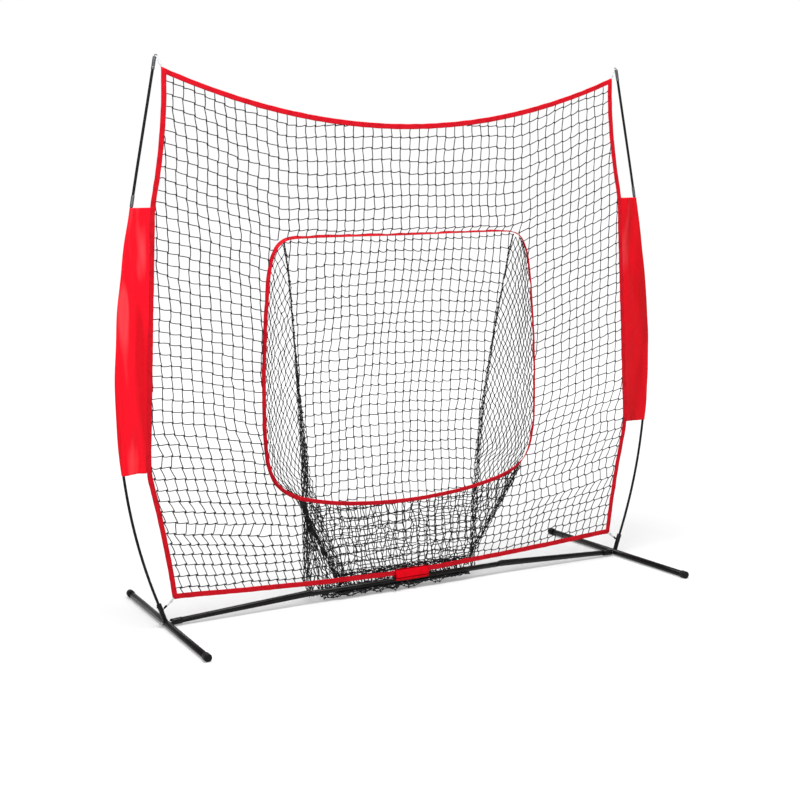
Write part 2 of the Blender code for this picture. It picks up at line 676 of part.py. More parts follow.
def build_sleeve(side_name, side):
    """Nylon panel between the side tape and the pole, with a sewn channel round the pole."""
    ring_angles = [math.radians(a) for a in range(-150, 151, 30)]
    half = 0.5 * SLEEVE_THICKNESS
    outer_rings, inner_rings = [], []
    for z in spread(*SLEEVE_ENDS, 13):
        cx = bow_x(z)
        tail = side_edge_x(z) + 3 * GAP
        root = cx - SLEEVE_RING * math.cos(math.radians(30))
        outer = [(cx + SLEEVE_RING * math.cos(a), SLEEVE_RING * math.sin(a)) for a in ring_angles]
        outer += [(root - 0.003, half), (tail, half), (tail, -half), (root - 0.003, -half)]
        bore = ring_angles + [math.radians(a) for a in (162, 174, 186, 198)]
        inner = [(cx + SLEEVE_BORE * math.cos(a), SLEEVE_BORE * math.sin(a)) for a in bore]
        outer_rings.append([(side * x, y, z) for x, y in outer])
        inner_rings.append([(side * x, y, z) for x, y in inner])
    bm = bmesh.new()
    skin_rings(bm, outer_rings + inner_rings[::-1], closed_loop=True)
    new_object(f"{side_name}_pole_sleeve", "red_nylon", bm)


def build():
    clear_scene()
    build_crossbar()
    for side_name, side in SIDES:
        build_foot(side_name, side)
        build_hub(side_name, side)
        build_socket(side_name, side)
        build_pole(side_name, side)
        build_sleeve(side_name, side)
    build_strap()
    build_tapes()
    build_main_net()
    build_binding()
    build_pocket()


build()
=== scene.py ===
"""Looks of the pitching target net: steel base, bow poles, red tapes and sleeves, knotted netting.

Metres, +Z up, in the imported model's frame: +X to the right, +Y to the back, the net in the plane y = 0.
"""
import json
import math

import bpy
import numpy as np
from mathutils import Matrix, Vector


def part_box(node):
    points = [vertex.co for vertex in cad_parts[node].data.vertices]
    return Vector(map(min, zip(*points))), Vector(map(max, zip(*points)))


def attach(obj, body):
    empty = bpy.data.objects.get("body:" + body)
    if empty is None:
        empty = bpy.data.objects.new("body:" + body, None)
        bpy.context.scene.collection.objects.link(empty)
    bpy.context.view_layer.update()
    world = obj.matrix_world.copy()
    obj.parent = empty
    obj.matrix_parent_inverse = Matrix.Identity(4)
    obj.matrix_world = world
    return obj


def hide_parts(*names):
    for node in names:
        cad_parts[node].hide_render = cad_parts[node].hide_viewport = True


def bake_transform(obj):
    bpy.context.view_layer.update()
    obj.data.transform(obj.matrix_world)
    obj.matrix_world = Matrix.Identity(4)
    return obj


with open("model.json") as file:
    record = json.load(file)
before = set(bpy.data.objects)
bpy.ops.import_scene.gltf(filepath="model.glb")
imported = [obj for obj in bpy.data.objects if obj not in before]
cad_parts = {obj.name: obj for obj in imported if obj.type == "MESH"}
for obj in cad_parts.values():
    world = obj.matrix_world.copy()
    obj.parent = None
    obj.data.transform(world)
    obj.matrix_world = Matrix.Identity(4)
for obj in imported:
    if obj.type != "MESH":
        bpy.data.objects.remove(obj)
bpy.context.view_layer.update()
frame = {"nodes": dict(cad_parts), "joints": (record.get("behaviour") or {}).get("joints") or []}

SIDES = (("left", -1), ("right", 1))
FINE = 40                 # sides of a smooth tube
WAVE_BANDS = 3.2          # bands to the metre of a wave texture of scale 1

# Netting
TWINE_R = 0.0019
POCKET_TWINE_R = 0.0018
KNOT_R = 0.0036
COLUMN = 0.0413           # spacing of the upright strands
ROW = 0.0433              # spacing of the level strands
CLIP_TUCK = 0.002         # how far a cut strand runs on under a tape
PANEL_TWINE_R = {"left": 0.0014, "right": 0.0017}
PANEL_STEP = {"left": 0.0102, "right": 0.0082}   # half width of a diamond in a side panel
PANEL_DROP = 0.0260       # half height of a diamond
CREASE_X = 0.53           # where the rows turn level, above the opening's corners
TOP_CORNER_X = 0.994      # the top tape's curve is read no further out than this
NET_SPLIT_Z = 1.10        # the main net's two pieces meet here

# Pocket, in line with its CAD solid
POCKET_TOP_Z = 1.450
POCKET_FRONT_Y = 0.0215
SEAM_TOP_X = 0.530
SEAM_LOW_X = 0.408
SEAM_LOW_Z = 0.50
POCKET_DEPTH = 0.0875     # of the seam behind the pocket's front edge, at its deepest
BAG_TOP_Z = 0.44          # below this the pocket's front edge is the bag's front seam
MOUTH_LOW_Z = 0.47        # above this it is the opening's side

# Tapes
STITCH_PITCH = 0.0085
STITCH_LENGTH = 0.0055
TAPE_PUFF = 0.0020        # half thickness of a folded tape
BINDING_PUFF = 0.0018
BINDING_TURN_Z = (0.42, 0.54)     # between these heights the opening's tape turns from flat to edge-on
BINDING_WAVES = ((23, 0.4, 0.9), (37, 1.7, 0.8), (58, 2.9, 0.5), (91, 0.2, 0.35))   # turns, phase, size
STRAP_THICKNESS = 0.0014
CORD_INSET = 0.004        # from the tapes' outer corner to the cord's loop
SLEEVE_R = 0.0082         # of the sleeve's cloth round the pole
SLEEVE_FLAT = 0.0012      # half the sleeve's thickness beside the tape

# Steel
TUBE_WALL = 0.0012
PLUG_LENGTH = 0.050       # of a crossbar arm inside the centre tube
BEND_BEYOND_X = 0.45      # the arms' sloping stretches lie outside this
CAP_LENGTH = 0.030
CAP_END = 0.0033          # how far a cap stands out past its tube
CAP_EDGE = 0.0042         # rounding of a cap's rim
BOLT_R = 0.0040
THREAD_PITCH = 0.00125
TIP_EDGE = 0.0026         # rounding of a pole tip's end

# Camera
CAMERA_AT = (-3.012, -5.362, 1.738)
CAMERA_YAW = math.radians(29.06)
CAMERA_PITCH = math.radians(-8.73)
CAMERA_ROLL = math.radians(-0.46)
CAMERA_LENS = 68.46

rng = np.random.default_rng(11)      # shared by the nets, in the order in which they are built


# ---------------------------------------------------------------- materials

class Look:
    """A material under construction: its node tree, its Principled shader and the object's coordinates."""

    def __init__(self, name, colour, roughness, metallic=0.0, gloss=0.5, stretch=(1, 1, 1)):
        self.material = bpy.data.materials.new(name)
        self.material.use_nodes = True
        self.tree = self.material.node_tree
        self.shader = self.tree.nodes["Principled BSDF"]
        self.set("Base Color", (*colour, 1.0))
        self.set("Roughness", roughness)
        self.set("Metallic", metallic)
        self.set("Specular IOR Level", gloss)
        self.coords = self.object_coords(stretch)

    def set(self, socket, value):
        self.shader.inputs[socket].default_value = value

    def node(self, kind, **values):
        return add_node(self.tree, kind, **values)

    def link(self, output, target):
        """Join an output to a socket, or to the shader's input of that name."""
        self.tree.links.new(output, self.shader.inputs[target] if isinstance(target, str) else target)

    def object_coords(self, scale, tilt_deg=0.0):
        source = self.node("ShaderNodeTexCoord")
        mapping = self.node("ShaderNodeMapping", Scale=scale, Rotation=(0, math.radians(tilt_deg), 0))
        self.link(source.outputs["Object"], mapping.inputs["Vector"])
        return mapping.outputs["Vector"]

    def noise(self, scale, detail=3.0, roughness=0.5, coords=None):
        node = self.node("ShaderNodeTexNoise", Scale=scale, Detail=detail, Roughness=roughness)
        self.link(self.coords if coords is None else coords, node.inputs["Vector"])
        return node.outputs["Fac"]

    def wave(self, direction, scale, distortion, **values):
        node = self.node("ShaderNodeTexWave", wave_type="BANDS", bands_direction=direction, Scale=scale,
                         Distortion=distortion, **values)
        self.link(self.coords, node.inputs["Vector"])
        return node.outputs["Fac"]

    def ramp(self, factor, stops):
        """A colour ramp through (position, colour) stops; a colour may be one grey level."""
        node = self.node("ShaderNodeValToRGB")
        self.link(factor, node.inputs["Fac"])
        marks = node.color_ramp.elements
        while len(marks) < len(stops):
            marks.new(0.5)
        for mark, (position, colour) in zip(marks, stops):
            mark.position = position
            mark.color = (*np.broadcast_to(colour, 3), 1.0)
        return node.outputs["Color"]

    def multiply(self, colour, other, amount):
        node = self.node("ShaderNodeMix", data_type="RGBA", blend_type="MULTIPLY")
        node.inputs["Factor"].default_value = amount
        self.link(colour, node.inputs[6])
        self.link(other, node.inputs[7])
        return node.outputs[2]

    def spread(self, factor, low, high):
        return spread_value(self.tree, factor, low, high)

    def worn(self, patches, stops, low, high):
        """Colour by a ramp through stops, and roughness from low to high, over the same patches."""
        self.link(self.ramp(patches, stops), "Base Color")
        self.link(self.spread(patches, low, high), "Roughness")

    def bump(self, height, strength, distance=0.0002):
        node = self.node("ShaderNodeBump", Strength=strength, Distance=distance)
        self.link(height, node.inputs["Height"])
        self.link(node.outputs["Normal"], "Normal")


def add_node(tree, kind, **values):
    node = tree.nodes.new(kind)
    for key, value in values.items():
        if key in node.inputs:
            node.inputs[key].default_value = value
        else:
            setattr(node, key, value)
    return node


def spread_value(tree, factor, low, high):
    node = add_node(tree, "ShaderNodeMapRange")
    node.inputs["To Min"].default_value = low
    node.inputs["To Max"].default_value = high
    tree.links.new(factor, node.inputs["Value"])
    return node.outputs["Result"]


def powder_coat():
    """Satin black powder coat: fine orange peel and slight dust."""
    look = Look("black_powder_coat", (0.004, 0.004, 0.004), 0.30, gloss=0.15)
    look.worn(look.noise(22, 5), [(0.3, 0.002), (0.7, (0.007, 0.006, 0.006))], 0.20, 0.32)
    look.bump(look.noise(1400, 2), 0.12)
    return look.material


def black_plastic():
    look = Look("black_plastic", (0.007, 0.007, 0.007), 0.5, gloss=0.12)
    look.worn(look.noise(90, 6, 0.65), [(0.45, 0.004), (0.75, (0.014, 0.013, 0.013))], 0.42, 0.62)
    look.bump(look.noise(2600, 1), 0.2)
    return look.material


def fibreglass():
    """Black pultruded rod: long fine streaks along the pole."""
    look = Look("black_fibreglass", (0.006, 0.006, 0.006), 0.38, gloss=0.10, stretch=(1, 1, 0.02))
    streak = look.noise(1800, 3)
    look.worn(streak, [(0.35, 0.003), (0.7, 0.009)], 0.30, 0.48)
    look.bump(streak, 0.15)
    return look.material


def grey_metal(name, colour, low, high):
    """Drawn metal with fine rings of tool marks and a cloudy finish."""
    look = Look(name, colour, 0.4, 1.0)
    dark = tuple(0.72 * c for c in colour)
    look.worn(look.noise(240, 4), [(0.3, dark), (0.7, colour)], low, high)
    look.bump(look.noise(2500, 2, coords=look.object_coords((0.05, 0.05, 1))), 0.2)
    return look.material


def red_fabric(name, bright, deep, pitch, roughness, cloud_scale,
               streak=1.0, painted_sheen=0.0, turned=0.78, gloss=0.10):
    """Woven nylon: fine weave, cloudy colour with streaks of painted sheen, and painted shade where the
    cloth turns away.

    pitch is the spacing of the weave, the satin amount paints a highlight over the brightest patches, and
    turned says from where on the edge the painted shade begins.
    """
    look = Look(name, bright, roughness, gloss=gloss)
    cloud = look.noise(cloud_scale, 2, 0.4, look.object_coords((1, 1, streak), 14))
    # painted highlight: the brightest cloud patches are lifted towards white, a satin sheen painted into
    # the colour
    painted_highlight = tuple(c * (1 + 3 * painted_sheen) + painted_sheen for c in bright)
    shade = look.ramp(cloud, [(0.38, deep), (0.50, bright), (0.60, bright), (0.68, painted_highlight)])
    threads = look.node("ShaderNodeMath", operation="MAXIMUM")
    for index, direction in enumerate("XZ"):
        look.link(look.wave(direction, 1.0 / pitch / WAVE_BANDS, 0.6, Detail=1.0), threads.inputs[index])
    weave = threads.outputs["Value"]
    shade = look.multiply(shade, look.ramp(weave, [(0.0, 0.62), (1.0, 1.0)]), 0.35)
    # painted shade: the colour darkens towards edges that turn away from the view, standing in for shade at
    # grazing angles
    edge_shade_factor = look.node("ShaderNodeLayerWeight", Blend=0.5).outputs["Facing"]
    look.link(look.multiply(shade, look.ramp(edge_shade_factor, [(turned, 1.0), (1.0, 0.30)]), 1.0), "Base Color")
    look.link(look.spread(cloud, roughness - 0.07, roughness + 0.07), "Roughness")
    look.set("Sheen Weight", 0.03)
    look.set("Sheen Roughness", 0.35)
    look.set("Sheen Tint", (1.0, 0.12, 0.14, 1.0))
    look.bump(weave, 0.35)
    return look.material


def twine(name, dark, light):
    """Twisted black polyethylene twine with slanting plies and worn grey patches."""
    look = Look(name, dark, 0.62, gloss=0.15)
    look.worn(look.noise(160, 4), [(0.35, dark), (0.75, light)], 0.5, 0.75)
    look.bump(look.wave("DIAGONAL", 260, 1.5, Detail=1.0), 0.6, 0.0004)
    return look.material


def white_cord():
    """White elastic cord with a braided cover."""
    look = Look("white_elastic_cord", (0.62, 0.63, 0.64), 0.6)
    braid = look.wave("DIAGONAL", 330, 0.8)
    look.link(look.ramp(braid, [(0.0, (0.30, 0.31, 0.32)), (0.6, (0.66, 0.67, 0.68))]), "Base Color")
    look.bump(braid, 0.5, 0.0003)
    return look.material


def floor_material():
    """Pale studio floor that glows more with distance, so that it stays pale to the horizon."""
    look = Look("studio_floor", (0.48, 0.48, 0.48), 0.9, gloss=0.1)
    look.link(look.ramp(look.noise(0.6, 2), [(0.3, 0.47), (0.7, 0.49)]), "Base Color")
    away = look.node("ShaderNodeVectorMath", operation="LENGTH")
    look.link(look.coords, away.inputs[0])
    fade = look.node("ShaderNodeMapRange")
    for socket, value in (("From Min", 1.5), ("From Max", 6.0), ("To Min", 0.24), ("To Max", 0.82)):
        fade.inputs[socket].default_value = value
    look.link(away.outputs["Value"], fade.inputs["Value"])
    look.set("Emission Color", (1, 1, 1, 1))
    look.link(fade.outputs["Result"], "Emission Strength")
    return look.material


MATERIALS = {
    "steel": powder_coat(),
    "plastic": black_plastic(),
    "fibreglass": fibreglass(),
    "ferrule": grey_metal("grey_ferrule_metal", (0.13, 0.135, 0.14), 0.30, 0.50),
    "zinc": grey_metal("zinc_plated_steel", (0.58, 0.59, 0.60), 0.25, 0.42),
    "left_sleeve": red_fabric("red_sleeve_nylon", (0.78, 0.002, 0.013), (0.58, 0.001, 0.008),
                              0.0008, 0.40, 13, streak=0.16, painted_sheen=0.035, turned=0.88),
    # painted shade: the right sleeve is the same nylon as the left, made darker in colour to stand in for
    # less light on it
    "right_sleeve": red_fabric("red_sleeve_nylon_shaded_right", (0.58, 0.001, 0.007), (0.46, 0.001, 0.005),
                               0.0008, 0.40, 13, streak=0.16, painted_sheen=0.020, turned=0.88),
    "tape": red_fabric("red_border_tape", (0.49, 0.002, 0.010), (0.41, 0.001, 0.008), 0.0011, 0.55, 30),
    "thread": red_fabric("red_stitching", (0.52, 0.003, 0.012), (0.38, 0.002, 0.008), 0.0006, 0.6, 60),
    "binding": red_fabric("red_opening_tape", (0.48, 0.002, 0.011), (0.40, 0.001, 0.009), 0.0011, 0.6, 30),
    "strap": red_fabric("red_hook_and_loop", (0.60, 0.001, 0.008), (0.52, 0.001, 0.006),
                        0.0009, 0.8, 40, gloss=0.05),
    "net": twine("black_net_twine", (0.006, 0.006, 0.007), (0.018, 0.018, 0.021)),
    "seam": twine("black_seam_twine", (0.005, 0.005, 0.006), (0.014, 0.014, 0.016)),
    "cord": white_cord(),
}


# ---------------------------------------------------------------- mesh helpers

class Shape:
    """Gathers blocks of points and faces into one mesh object."""

    def __init__(self):
        self.points = []
        self.faces = []
        self.count = 0

    def add(self, points, faces):
        """faces is an array of corner numbers, one row for each face, all with the same corner count."""
        points = np.asarray(points, float).reshape(-1, 3)
        self.points.append(points)
        self.faces.append(np.asarray(faces, int) + self.count)
        self.count += len(points)

    def make(self, name, material, sharp_deg=None):
        mesh = bpy.data.meshes.new(name)
        points = np.concatenate(self.points)
        sizes = np.concatenate([np.full(len(f), f.shape[1]) for f in self.faces])
        corners = np.concatenate([f.ravel() for f in self.faces])
        mesh.vertices.add(len(points))
        mesh.vertices.foreach_set("co", points.astype(np.float32).ravel())
        mesh.loops.add(len(corners))
        mesh.loops.foreach_set("vertex_index", corners.astype(np.int32))
        mesh.polygons.add(len(sizes))
        starts = np.concatenate([[0], np.cumsum(sizes)[:-1]])
        mesh.polygons.foreach_set("loop_start", starts.astype(np.int32))
        mesh.update(calc_edges=True)
        mesh.validate()
        mesh.shade_smooth()
        if sharp_deg:
            mesh.set_sharp_from_angle(angle=math.radians(sharp_deg))
        mesh.materials.append(MATERIALS[material])
        obj = bpy.data.objects.new(name, mesh)
        bpy.context.scene.collection.objects.link(obj)
        return obj

    def place(self, name, material, body, *nodes, sharp_deg=None, slot=None):
        """Make the piece, tie it to a body, and let it stand in for CAD nodes.

        body is the body's name, or a function that ties the piece.
        """
        obj = self.make(name, material, sharp_deg)
        if callable(body):
            body(obj)
        else:
            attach(obj, body)
        if nodes:
            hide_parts(*nodes)
        return obj


def unit(v):
    return v / np.maximum(np.linalg.norm(v, axis=-1, keepdims=True), 1e-12)


def square_to(along, overall):
    """Two directions square to `along`, for a path whose ends lie in the direction `overall`."""
    hint = np.where(np.abs(overall[..., 1:2]) < 0.8, [0.0, 1.0, 0.0], [0.0, 0.0, 1.0])
    side = unit(np.cross(along, hint))
    return side, np.cross(along, side)


def circle(sides, side, up):
    """Points of a unit circle in the plane of two directions, or one circle for each pair of them."""
    turn = 2 * np.pi * np.arange(sides) / sides
    return np.cos(turn)[:, None] * side[..., None, :] + np.sin(turn)[:, None] * up[..., None, :]


def tube_block(shape, paths, radii, sides):
    """Round bars along paths of equal point count.

    paths is (bars, points, 3), and radii broadcasts to (bars, points).
    """
    paths = np.asarray(paths, float)
    bars, count, _ = paths.shape
    radii = np.broadcast_to(radii, (bars, count))
    overall = unit(paths[:, -1] - paths[:, 0])[:, None, :]
    ring = circle(sides, *square_to(unit(np.gradient(paths, axis=1)), overall))
    points = paths[:, :, None, :] + radii[:, :, None, None] * ring
    bar = (np.arange(bars) * count * sides)[:, None]
    base = bar[:, None] + (np.arange(count - 1) * sides)[None, :, None]
    i = np.arange(sides)
    j = (i + 1) % sides
    quads = np.stack(np.broadcast_arrays(base + i, base + i + sides, base + j + sides, base + j), -1)
    bar = bar + shape.count
    shape.add(points, quads.reshape(-1, 4))
    shape.faces += [bar + i, bar + (count - 1) * sides + i[::-1]]


def ring_block(shape, rings, closed=False, capped=True):
    """Skin over rings of equal point count, (rings, points, 3)."""
    rings = np.asarray(rings, float)
    count, sides, _ = rings.shape
    i = np.arange(sides)
    j = (i + 1) % sides
    rows = np.arange(count if closed else count - 1)
    low = (rows * sides)[:, None]
    high = ((rows + 1) % count * sides)[:, None]
    quads = np.stack([low + i, high + i, high + j, low + j], -1).reshape(-1, 4)
    start = shape.count
    shape.add(rings, quads)
    if capped and not closed:
        shape.faces += [start + i[None, :], start + (count - 1) * sides + i[None, ::-1]]


def turned_block(shape, start, end, profile, sides=FINE):
    """A turned piece on the line from start to end. profile holds (distance, radius) pairs."""
    along = unit(end - start)
    ring = circle(sides, *square_to(along, along))
    ring_block(shape, [start + along * at + ring * max(radius, 1e-5) for at, radius in profile])


def dome(start_deg, run, radius, drop=None):
    """(distance, radius) steps of a rounded end: `run` long, and falling by `drop` or to the axis."""
    turns = np.linspace(start_deg, 1.0, 6) * math.pi / 2
    if drop is None:
        return [(run * math.sin(a), radius * math.cos(a)) for a in turns]
    return [(run * math.sin(a), radius - drop * (1 - math.cos(a))) for a in turns]


def path_run(points):
    """Distance along a path at each of its points."""
    return np.concatenate([[0], np.cumsum(np.linalg.norm(np.diff(points, axis=0), axis=1))])


def points_at(want, run, path):
    """Points of a path at the distances `want`, where run holds the distance at each of its own points."""
    return np.stack([np.interp(want, run, path[:, k]) for k in range(path.shape[1])], -1)


def smooth_line(points, count):
    """Evenly spaced points on a smooth curve through the given ones."""
    points = np.asarray(points, float)
    padded = np.vstack([2 * points[0] - points[1], points, 2 * points[-1] - points[-2]])
    fine = []
    for p0, p1, p2, p3 in zip(padded, padded[1:], padded[2:], padded[3:]):
        t = np.linspace(0, 1, 16, endpoint=False)[:, None]
        fine.append(0.5 * (2 * p1 + (p2 - p0) * t + (2 * p0 - 5 * p1 + 4 * p2 - p3) * t ** 2
                           + (3 * p1 - p0 - 3 * p2 + p3) * t ** 3))
    fine = np.vstack(fine + [points[-1:]])
    run = path_run(fine)
    return points_at(np.linspace(0, run[-1], count), run, fine)


def between(value, start, end):
    """0 before start and 1 past end, in a straight line in between. start may be the larger one."""
    return np.clip((value - start) / (end - start), 0, 1)


def last_inside(inside, near, far, steps=24):
    """The last point of a region on the way from near to far, found by halving."""
    for _ in range(steps):
        middle = 0.5 * (near + far)
        good = inside(middle)
        near, far = np.where(good, middle, near), np.where(good, far, middle)
    return near


def ripple(x, z, wavelength, seed, waves=9):
    """A smooth random field between about -1 and 1."""
    local = np.random.default_rng(seed)
    total = np.zeros(np.broadcast(x, z).shape)
    for _ in range(waves):
        heading = local.uniform(0, 2 * np.pi)
        pace = 2 * np.pi / (wavelength * local.uniform(0.7, 1.6))
        phase = local.uniform(0, 2 * np.pi)
        total = total + np.cos(pace * (x * math.cos(heading) + z * math.sin(heading)) + phase)
    return total / math.sqrt(waves)


# ---------------------------------------------------------------- shapes read from the frame

def corners_of(node):
    points = np.array([v.co for v in frame["nodes"][node].data.vertices])
    return np.unique(points.round(6), axis=0)


def sections(node, axis, gap):
    """The node's corner points split into groups along an axis, wherever a step is wider than gap."""
    points = corners_of(node)
    points = points[np.argsort(points[:, axis])]
    return np.split(points, np.flatnonzero(np.diff(points[:, axis]) > gap) + 1)


def centre_line(node, axis, gap):
    return np.array([group.mean(0) for group in sections(node, axis, gap)])


def fit_bow(side_name):
    """The bow's centre line as x for a height z, from the three pole sections."""
    parts = ("lower", "middle", "upper")
    line = np.vstack([centre_line(f"{side_name}_pole_{part}", 2, 0.012) for part in parts])
    curve = np.polyfit(line[:, 2], line[:, 0], 7)
    return lambda z: np.polyval(curve, z)


BOW = {side_name: fit_bow(side_name) for side_name, _ in SIDES}


def fit_side_edge(side_name):
    """Outer edge of a side tape as |x| for a height z: three stretches, split at the sleeve's ends."""
    groups = sections(f"{side_name}_side_tape", 2, 0.01)
    z = np.array([g[:, 2].mean() for g in groups])
    x = np.array([np.abs(g[:, 0]).max() for g in groups])
    low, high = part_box(f"{side_name}_pole_sleeve")
    cuts = [z[0] - 1e-4, low.z + 0.002, high.z + 0.005, z[-1] + 1e-4]
    curves = []
    for a, b in zip(cuts, cuts[1:]):
        inside = (z > a - 0.008) & (z < b + 0.008)
        degree = min(2, inside.sum() - 1)
        curves.append(np.polyfit(z[inside], x[inside], degree))

    def edge(height):
        height = np.asarray(height, float)
        return np.select([height < cuts[1], height < cuts[2]],
                         [np.polyval(curves[0], height), np.polyval(curves[1], height)],
                         np.polyval(curves[2], height))
    return edge


side_edge = fit_side_edge("right")
TAPE_WIDTH = float(np.ptp(sections("right_side_tape", 2, 0.01)[0][:, 0]))
NET_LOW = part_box("right_side_tape")[0].z
NET_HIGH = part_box("right_side_tape")[1].z


def fit_level_edge(node, outer):
    groups = sections(node, 0, 0.01)
    x = np.array([g[:, 0].mean() for g in groups])
    z = np.array([outer(g[:, 2]) for g in groups])
    return lambda at: np.interp(np.abs(at), x[x >= -1e-6], z[x >= -1e-6])


top_edge = fit_level_edge("top_tape", np.max)
bottom_edge = fit_level_edge("bottom_tape", np.min)


def fit_opening():
    """The opening's edge: a centre, and its radius about that centre by angle."""
    points = corners_of("opening_binding")
    front = points[points[:, 1] < points[:, 1].min() + 1e-4][:, [0, 2]]
    centre = np.array([0.0, 0.5 * (front[:, 1].min() + front[:, 1].max())])
    angle = np.arctan2(front[:, 1] - centre[1], front[:, 0])
    front = front[np.argsort(angle)]
    stations = 0.5 * (front[0::2] + front[1::2])
    wrapped = np.vstack([stations[-3:], stations, stations[:3]])
    offset = smooth_line(wrapped, 1600) - centre
    turned = np.unwrap(np.arctan2(offset[:, 1], offset[:, 0])) - 2 * np.pi
    once = (turned >= -np.pi) & (turned < np.pi)
    turned, reach = turned[once], np.hypot(*offset[once].T)
    return centre, np.concatenate([turned - 2 * np.pi, turned, turned + 2 * np.pi]), np.tile(reach, 3)


OPENING_CENTRE, OPENING_ANGLE, OPENING_REACH = fit_opening()
BINDING_WIDTH = float(np.ptp(corners_of("opening_binding")[:, 1]))
BINDING_FRONT_Y = float(corners_of("opening_binding")[:, 1].min())


def opening_reach(angle):
    return np.interp(angle, OPENING_ANGLE, OPENING_REACH)


def in_opening(x, z, grow=0.0):
    dx, dz = x - OPENING_CENTRE[0], z - OPENING_CENTRE[1]
    return np.hypot(dx, dz) < opening_reach(np.arctan2(dz, dx)) + grow


def binding_lean(x, z):
    """How far the opening's tape turns from edge-on towards lying in the net's plane, in radians."""
    share = between(z, *BINDING_TURN_Z)
    upright = 23 - 18 * x
    return np.radians(78 + (upright - 78) * share * share * (3 - 2 * share))


def binding_rear(x, z):
    """How far the rear edge of the opening's tape lies outside the opening's line, and its depth."""
    lean = binding_lean(x, z)
    depth = BINDING_FRONT_Y + 0.5 * BINDING_WIDTH * (1 - np.sin(lean) + np.cos(lean)) + 0.002
    return 0.5 * BINDING_WIDTH * np.sin(lean), depth


def to_binding(p):
    """Strand ends and knots at the opening move back to the rear edge of its tape."""
    reach, depth = binding_rear(p[..., 0], p[..., 2])
    near = in_opening(p[..., 0], p[..., 2], reach + 0.009)
    p = p.copy()
    p[..., 1] = np.where(near, depth, p[..., 1])
    return p


def opening_top(x):
    """Height of the opening's upper edge at x."""
    return last_inside(lambda z: in_opening(x, z), np.full_like(x, OPENING_CENTRE[1]), np.full_like(x, 1.6))


def opening_half_width(z):
    """Half width of the opening at height z."""
    z = np.asarray(z, float)
    return last_inside(lambda x: in_opening(x, z), np.zeros_like(z), np.full_like(z, 0.7))


# ---------------------------------------------------------------- base frame

def node_radius(node):
    low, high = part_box(node)
    return 0.5 * (high.y - low.y)


def hollow_block(shape, path, outer, wall, sides=FINE):
    """An open tube along a path, as one block with rounded rims."""
    path = np.asarray(path, float)
    along = unit(np.gradient(path, axis=0))
    spokes = circle(sides, *square_to(along, unit(path[-1] - path[0])))
    last = len(path) - 1
    rim = 0.35 * wall

    def ring(k, radius, shift=0.0):
        return path[k] + along[k] * shift + spokes[k] * radius
    rings = [ring(0, outer - rim), ring(0, outer, rim)]
    rings += [ring(k, outer) for k in range(1, last)]
    rings += [ring(last, outer, -rim), ring(last, outer - rim), ring(last, outer - wall + rim)]
    rings += [ring(last, outer - wall, -rim), ring(0, outer - wall, rim), ring(0, outer - wall + rim)]
    ring_block(shape, rings, closed=True)


def build_crossbar():
    """Level centre tube, and two arms with a plug inside it that slope down to the feet."""
    centre = centre_line("crossbar_centre_tube", 0, 0.1)
    radius = node_radius("crossbar_centre_tube")
    shape = Shape()
    hollow_block(shape, centre, radius, TUBE_WALL)
    shape.place("centre_bar", "steel", "base_frame", "crossbar_centre_tube")
    joint_x = abs(centre[:, 0]).max()
    for side_name, side in SIDES:
        node = f"crossbar_{side_name}_tube"
        line = centre_line(node, 0, 0.004)
        line = line[np.abs(line[:, 0]) > BEND_BEYOND_X]
        line = line[np.argsort(np.abs(line[:, 0]))]
        ahead = np.array([side, 0, 0])
        start = np.array([side * (joint_x + 0.0006), 0, centre[0, 2]])
        plug = np.array([side * (joint_x - PLUG_LENGTH), 0, centre[0, 2]])
        bend = [start, start + 0.006 * ahead, line[0] + 0.006 * ahead - [0, 0, 0.0002], line[-1]]
        shape = Shape()
        hollow_block(shape, bend, radius, TUBE_WALL)
        hollow_block(shape, [plug, start + 0.001 * ahead], radius - TUBE_WALL - 0.0003, TUBE_WALL)
        shape.place(f"{side_name}_bar_arm", "steel", "base_frame", node)


def foot_frame(side_name):
    """Ends of a foot tube's centre line, front first, and its radius."""
    groups = sections(f"{side_name}_foot_tube", 1, 0.1)
    return groups[0].mean(0), groups[-1].mean(0), 0.5 * np.ptp(groups[0][:, 2])


def build_foot(side_name):
    front, back, radius = foot_frame(side_name)
    shape = Shape()
    hollow_block(shape, [front, back], radius, TUBE_WALL, 48)
    shape.place(f"{side_name}_foot_bar", "steel", "base_frame", f"{side_name}_foot_tube")
    for end_name, end, other in (("front", front, back), ("rear", back, front)):
        build_cap(f"{side_name}_{end_name}", end, unit(end - other), radius)


def build_cap(name, end, out, tube_r):
    """Moulded end cap: a lip over the tube, a groove near the end and a rounded rim round a dished face."""
    low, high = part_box(f"{name}_foot_cap")
    cap_r = 0.5 * (high.z - low.z)
    length, edge, groove = CAP_LENGTH, CAP_EDGE, 0.0003
    tip = end + out * CAP_END
    profile = [(0.0, tube_r + 0.0004), (0.0, cap_r - 0.0010), (0.0004, cap_r - groove), (0.0012, cap_r)]
    profile += [(length - 0.0060, cap_r), (length - 0.0058, cap_r - groove)]
    profile += [(length - 0.0050, cap_r - groove), (length - 0.0048, cap_r)]
    profile += [(length - edge + d, r) for d, r in dome(0.1, edge, cap_r, edge)]
    profile += [(length - 0.0004, 0.55 * cap_r), (length - 0.0008, 0.25 * cap_r), (length - 0.0008, 0.0)]
    shape = Shape()
    turned_block(shape, tip - out * length, tip, profile, 48)
    shape.place(f"{name}_cap", "plastic", "base_frame", f"{name}_foot_cap", sharp_deg=50)


def socket_axis(side_name):
    """The middle of the leaning socket's mouth, the direction of its axis, and its outer radius."""
    points = corners_of(f"{side_name}_pole_socket")
    mouth = points[points[:, 2] > points[:, 2].max() - 0.0075].mean(0)
    lean = unit(np.array([BOW[side_name](0.20) - BOW[side_name](0.10), 0, 0.10]))
    return mouth, lean, 0.5 * np.ptp(points[:, 1])


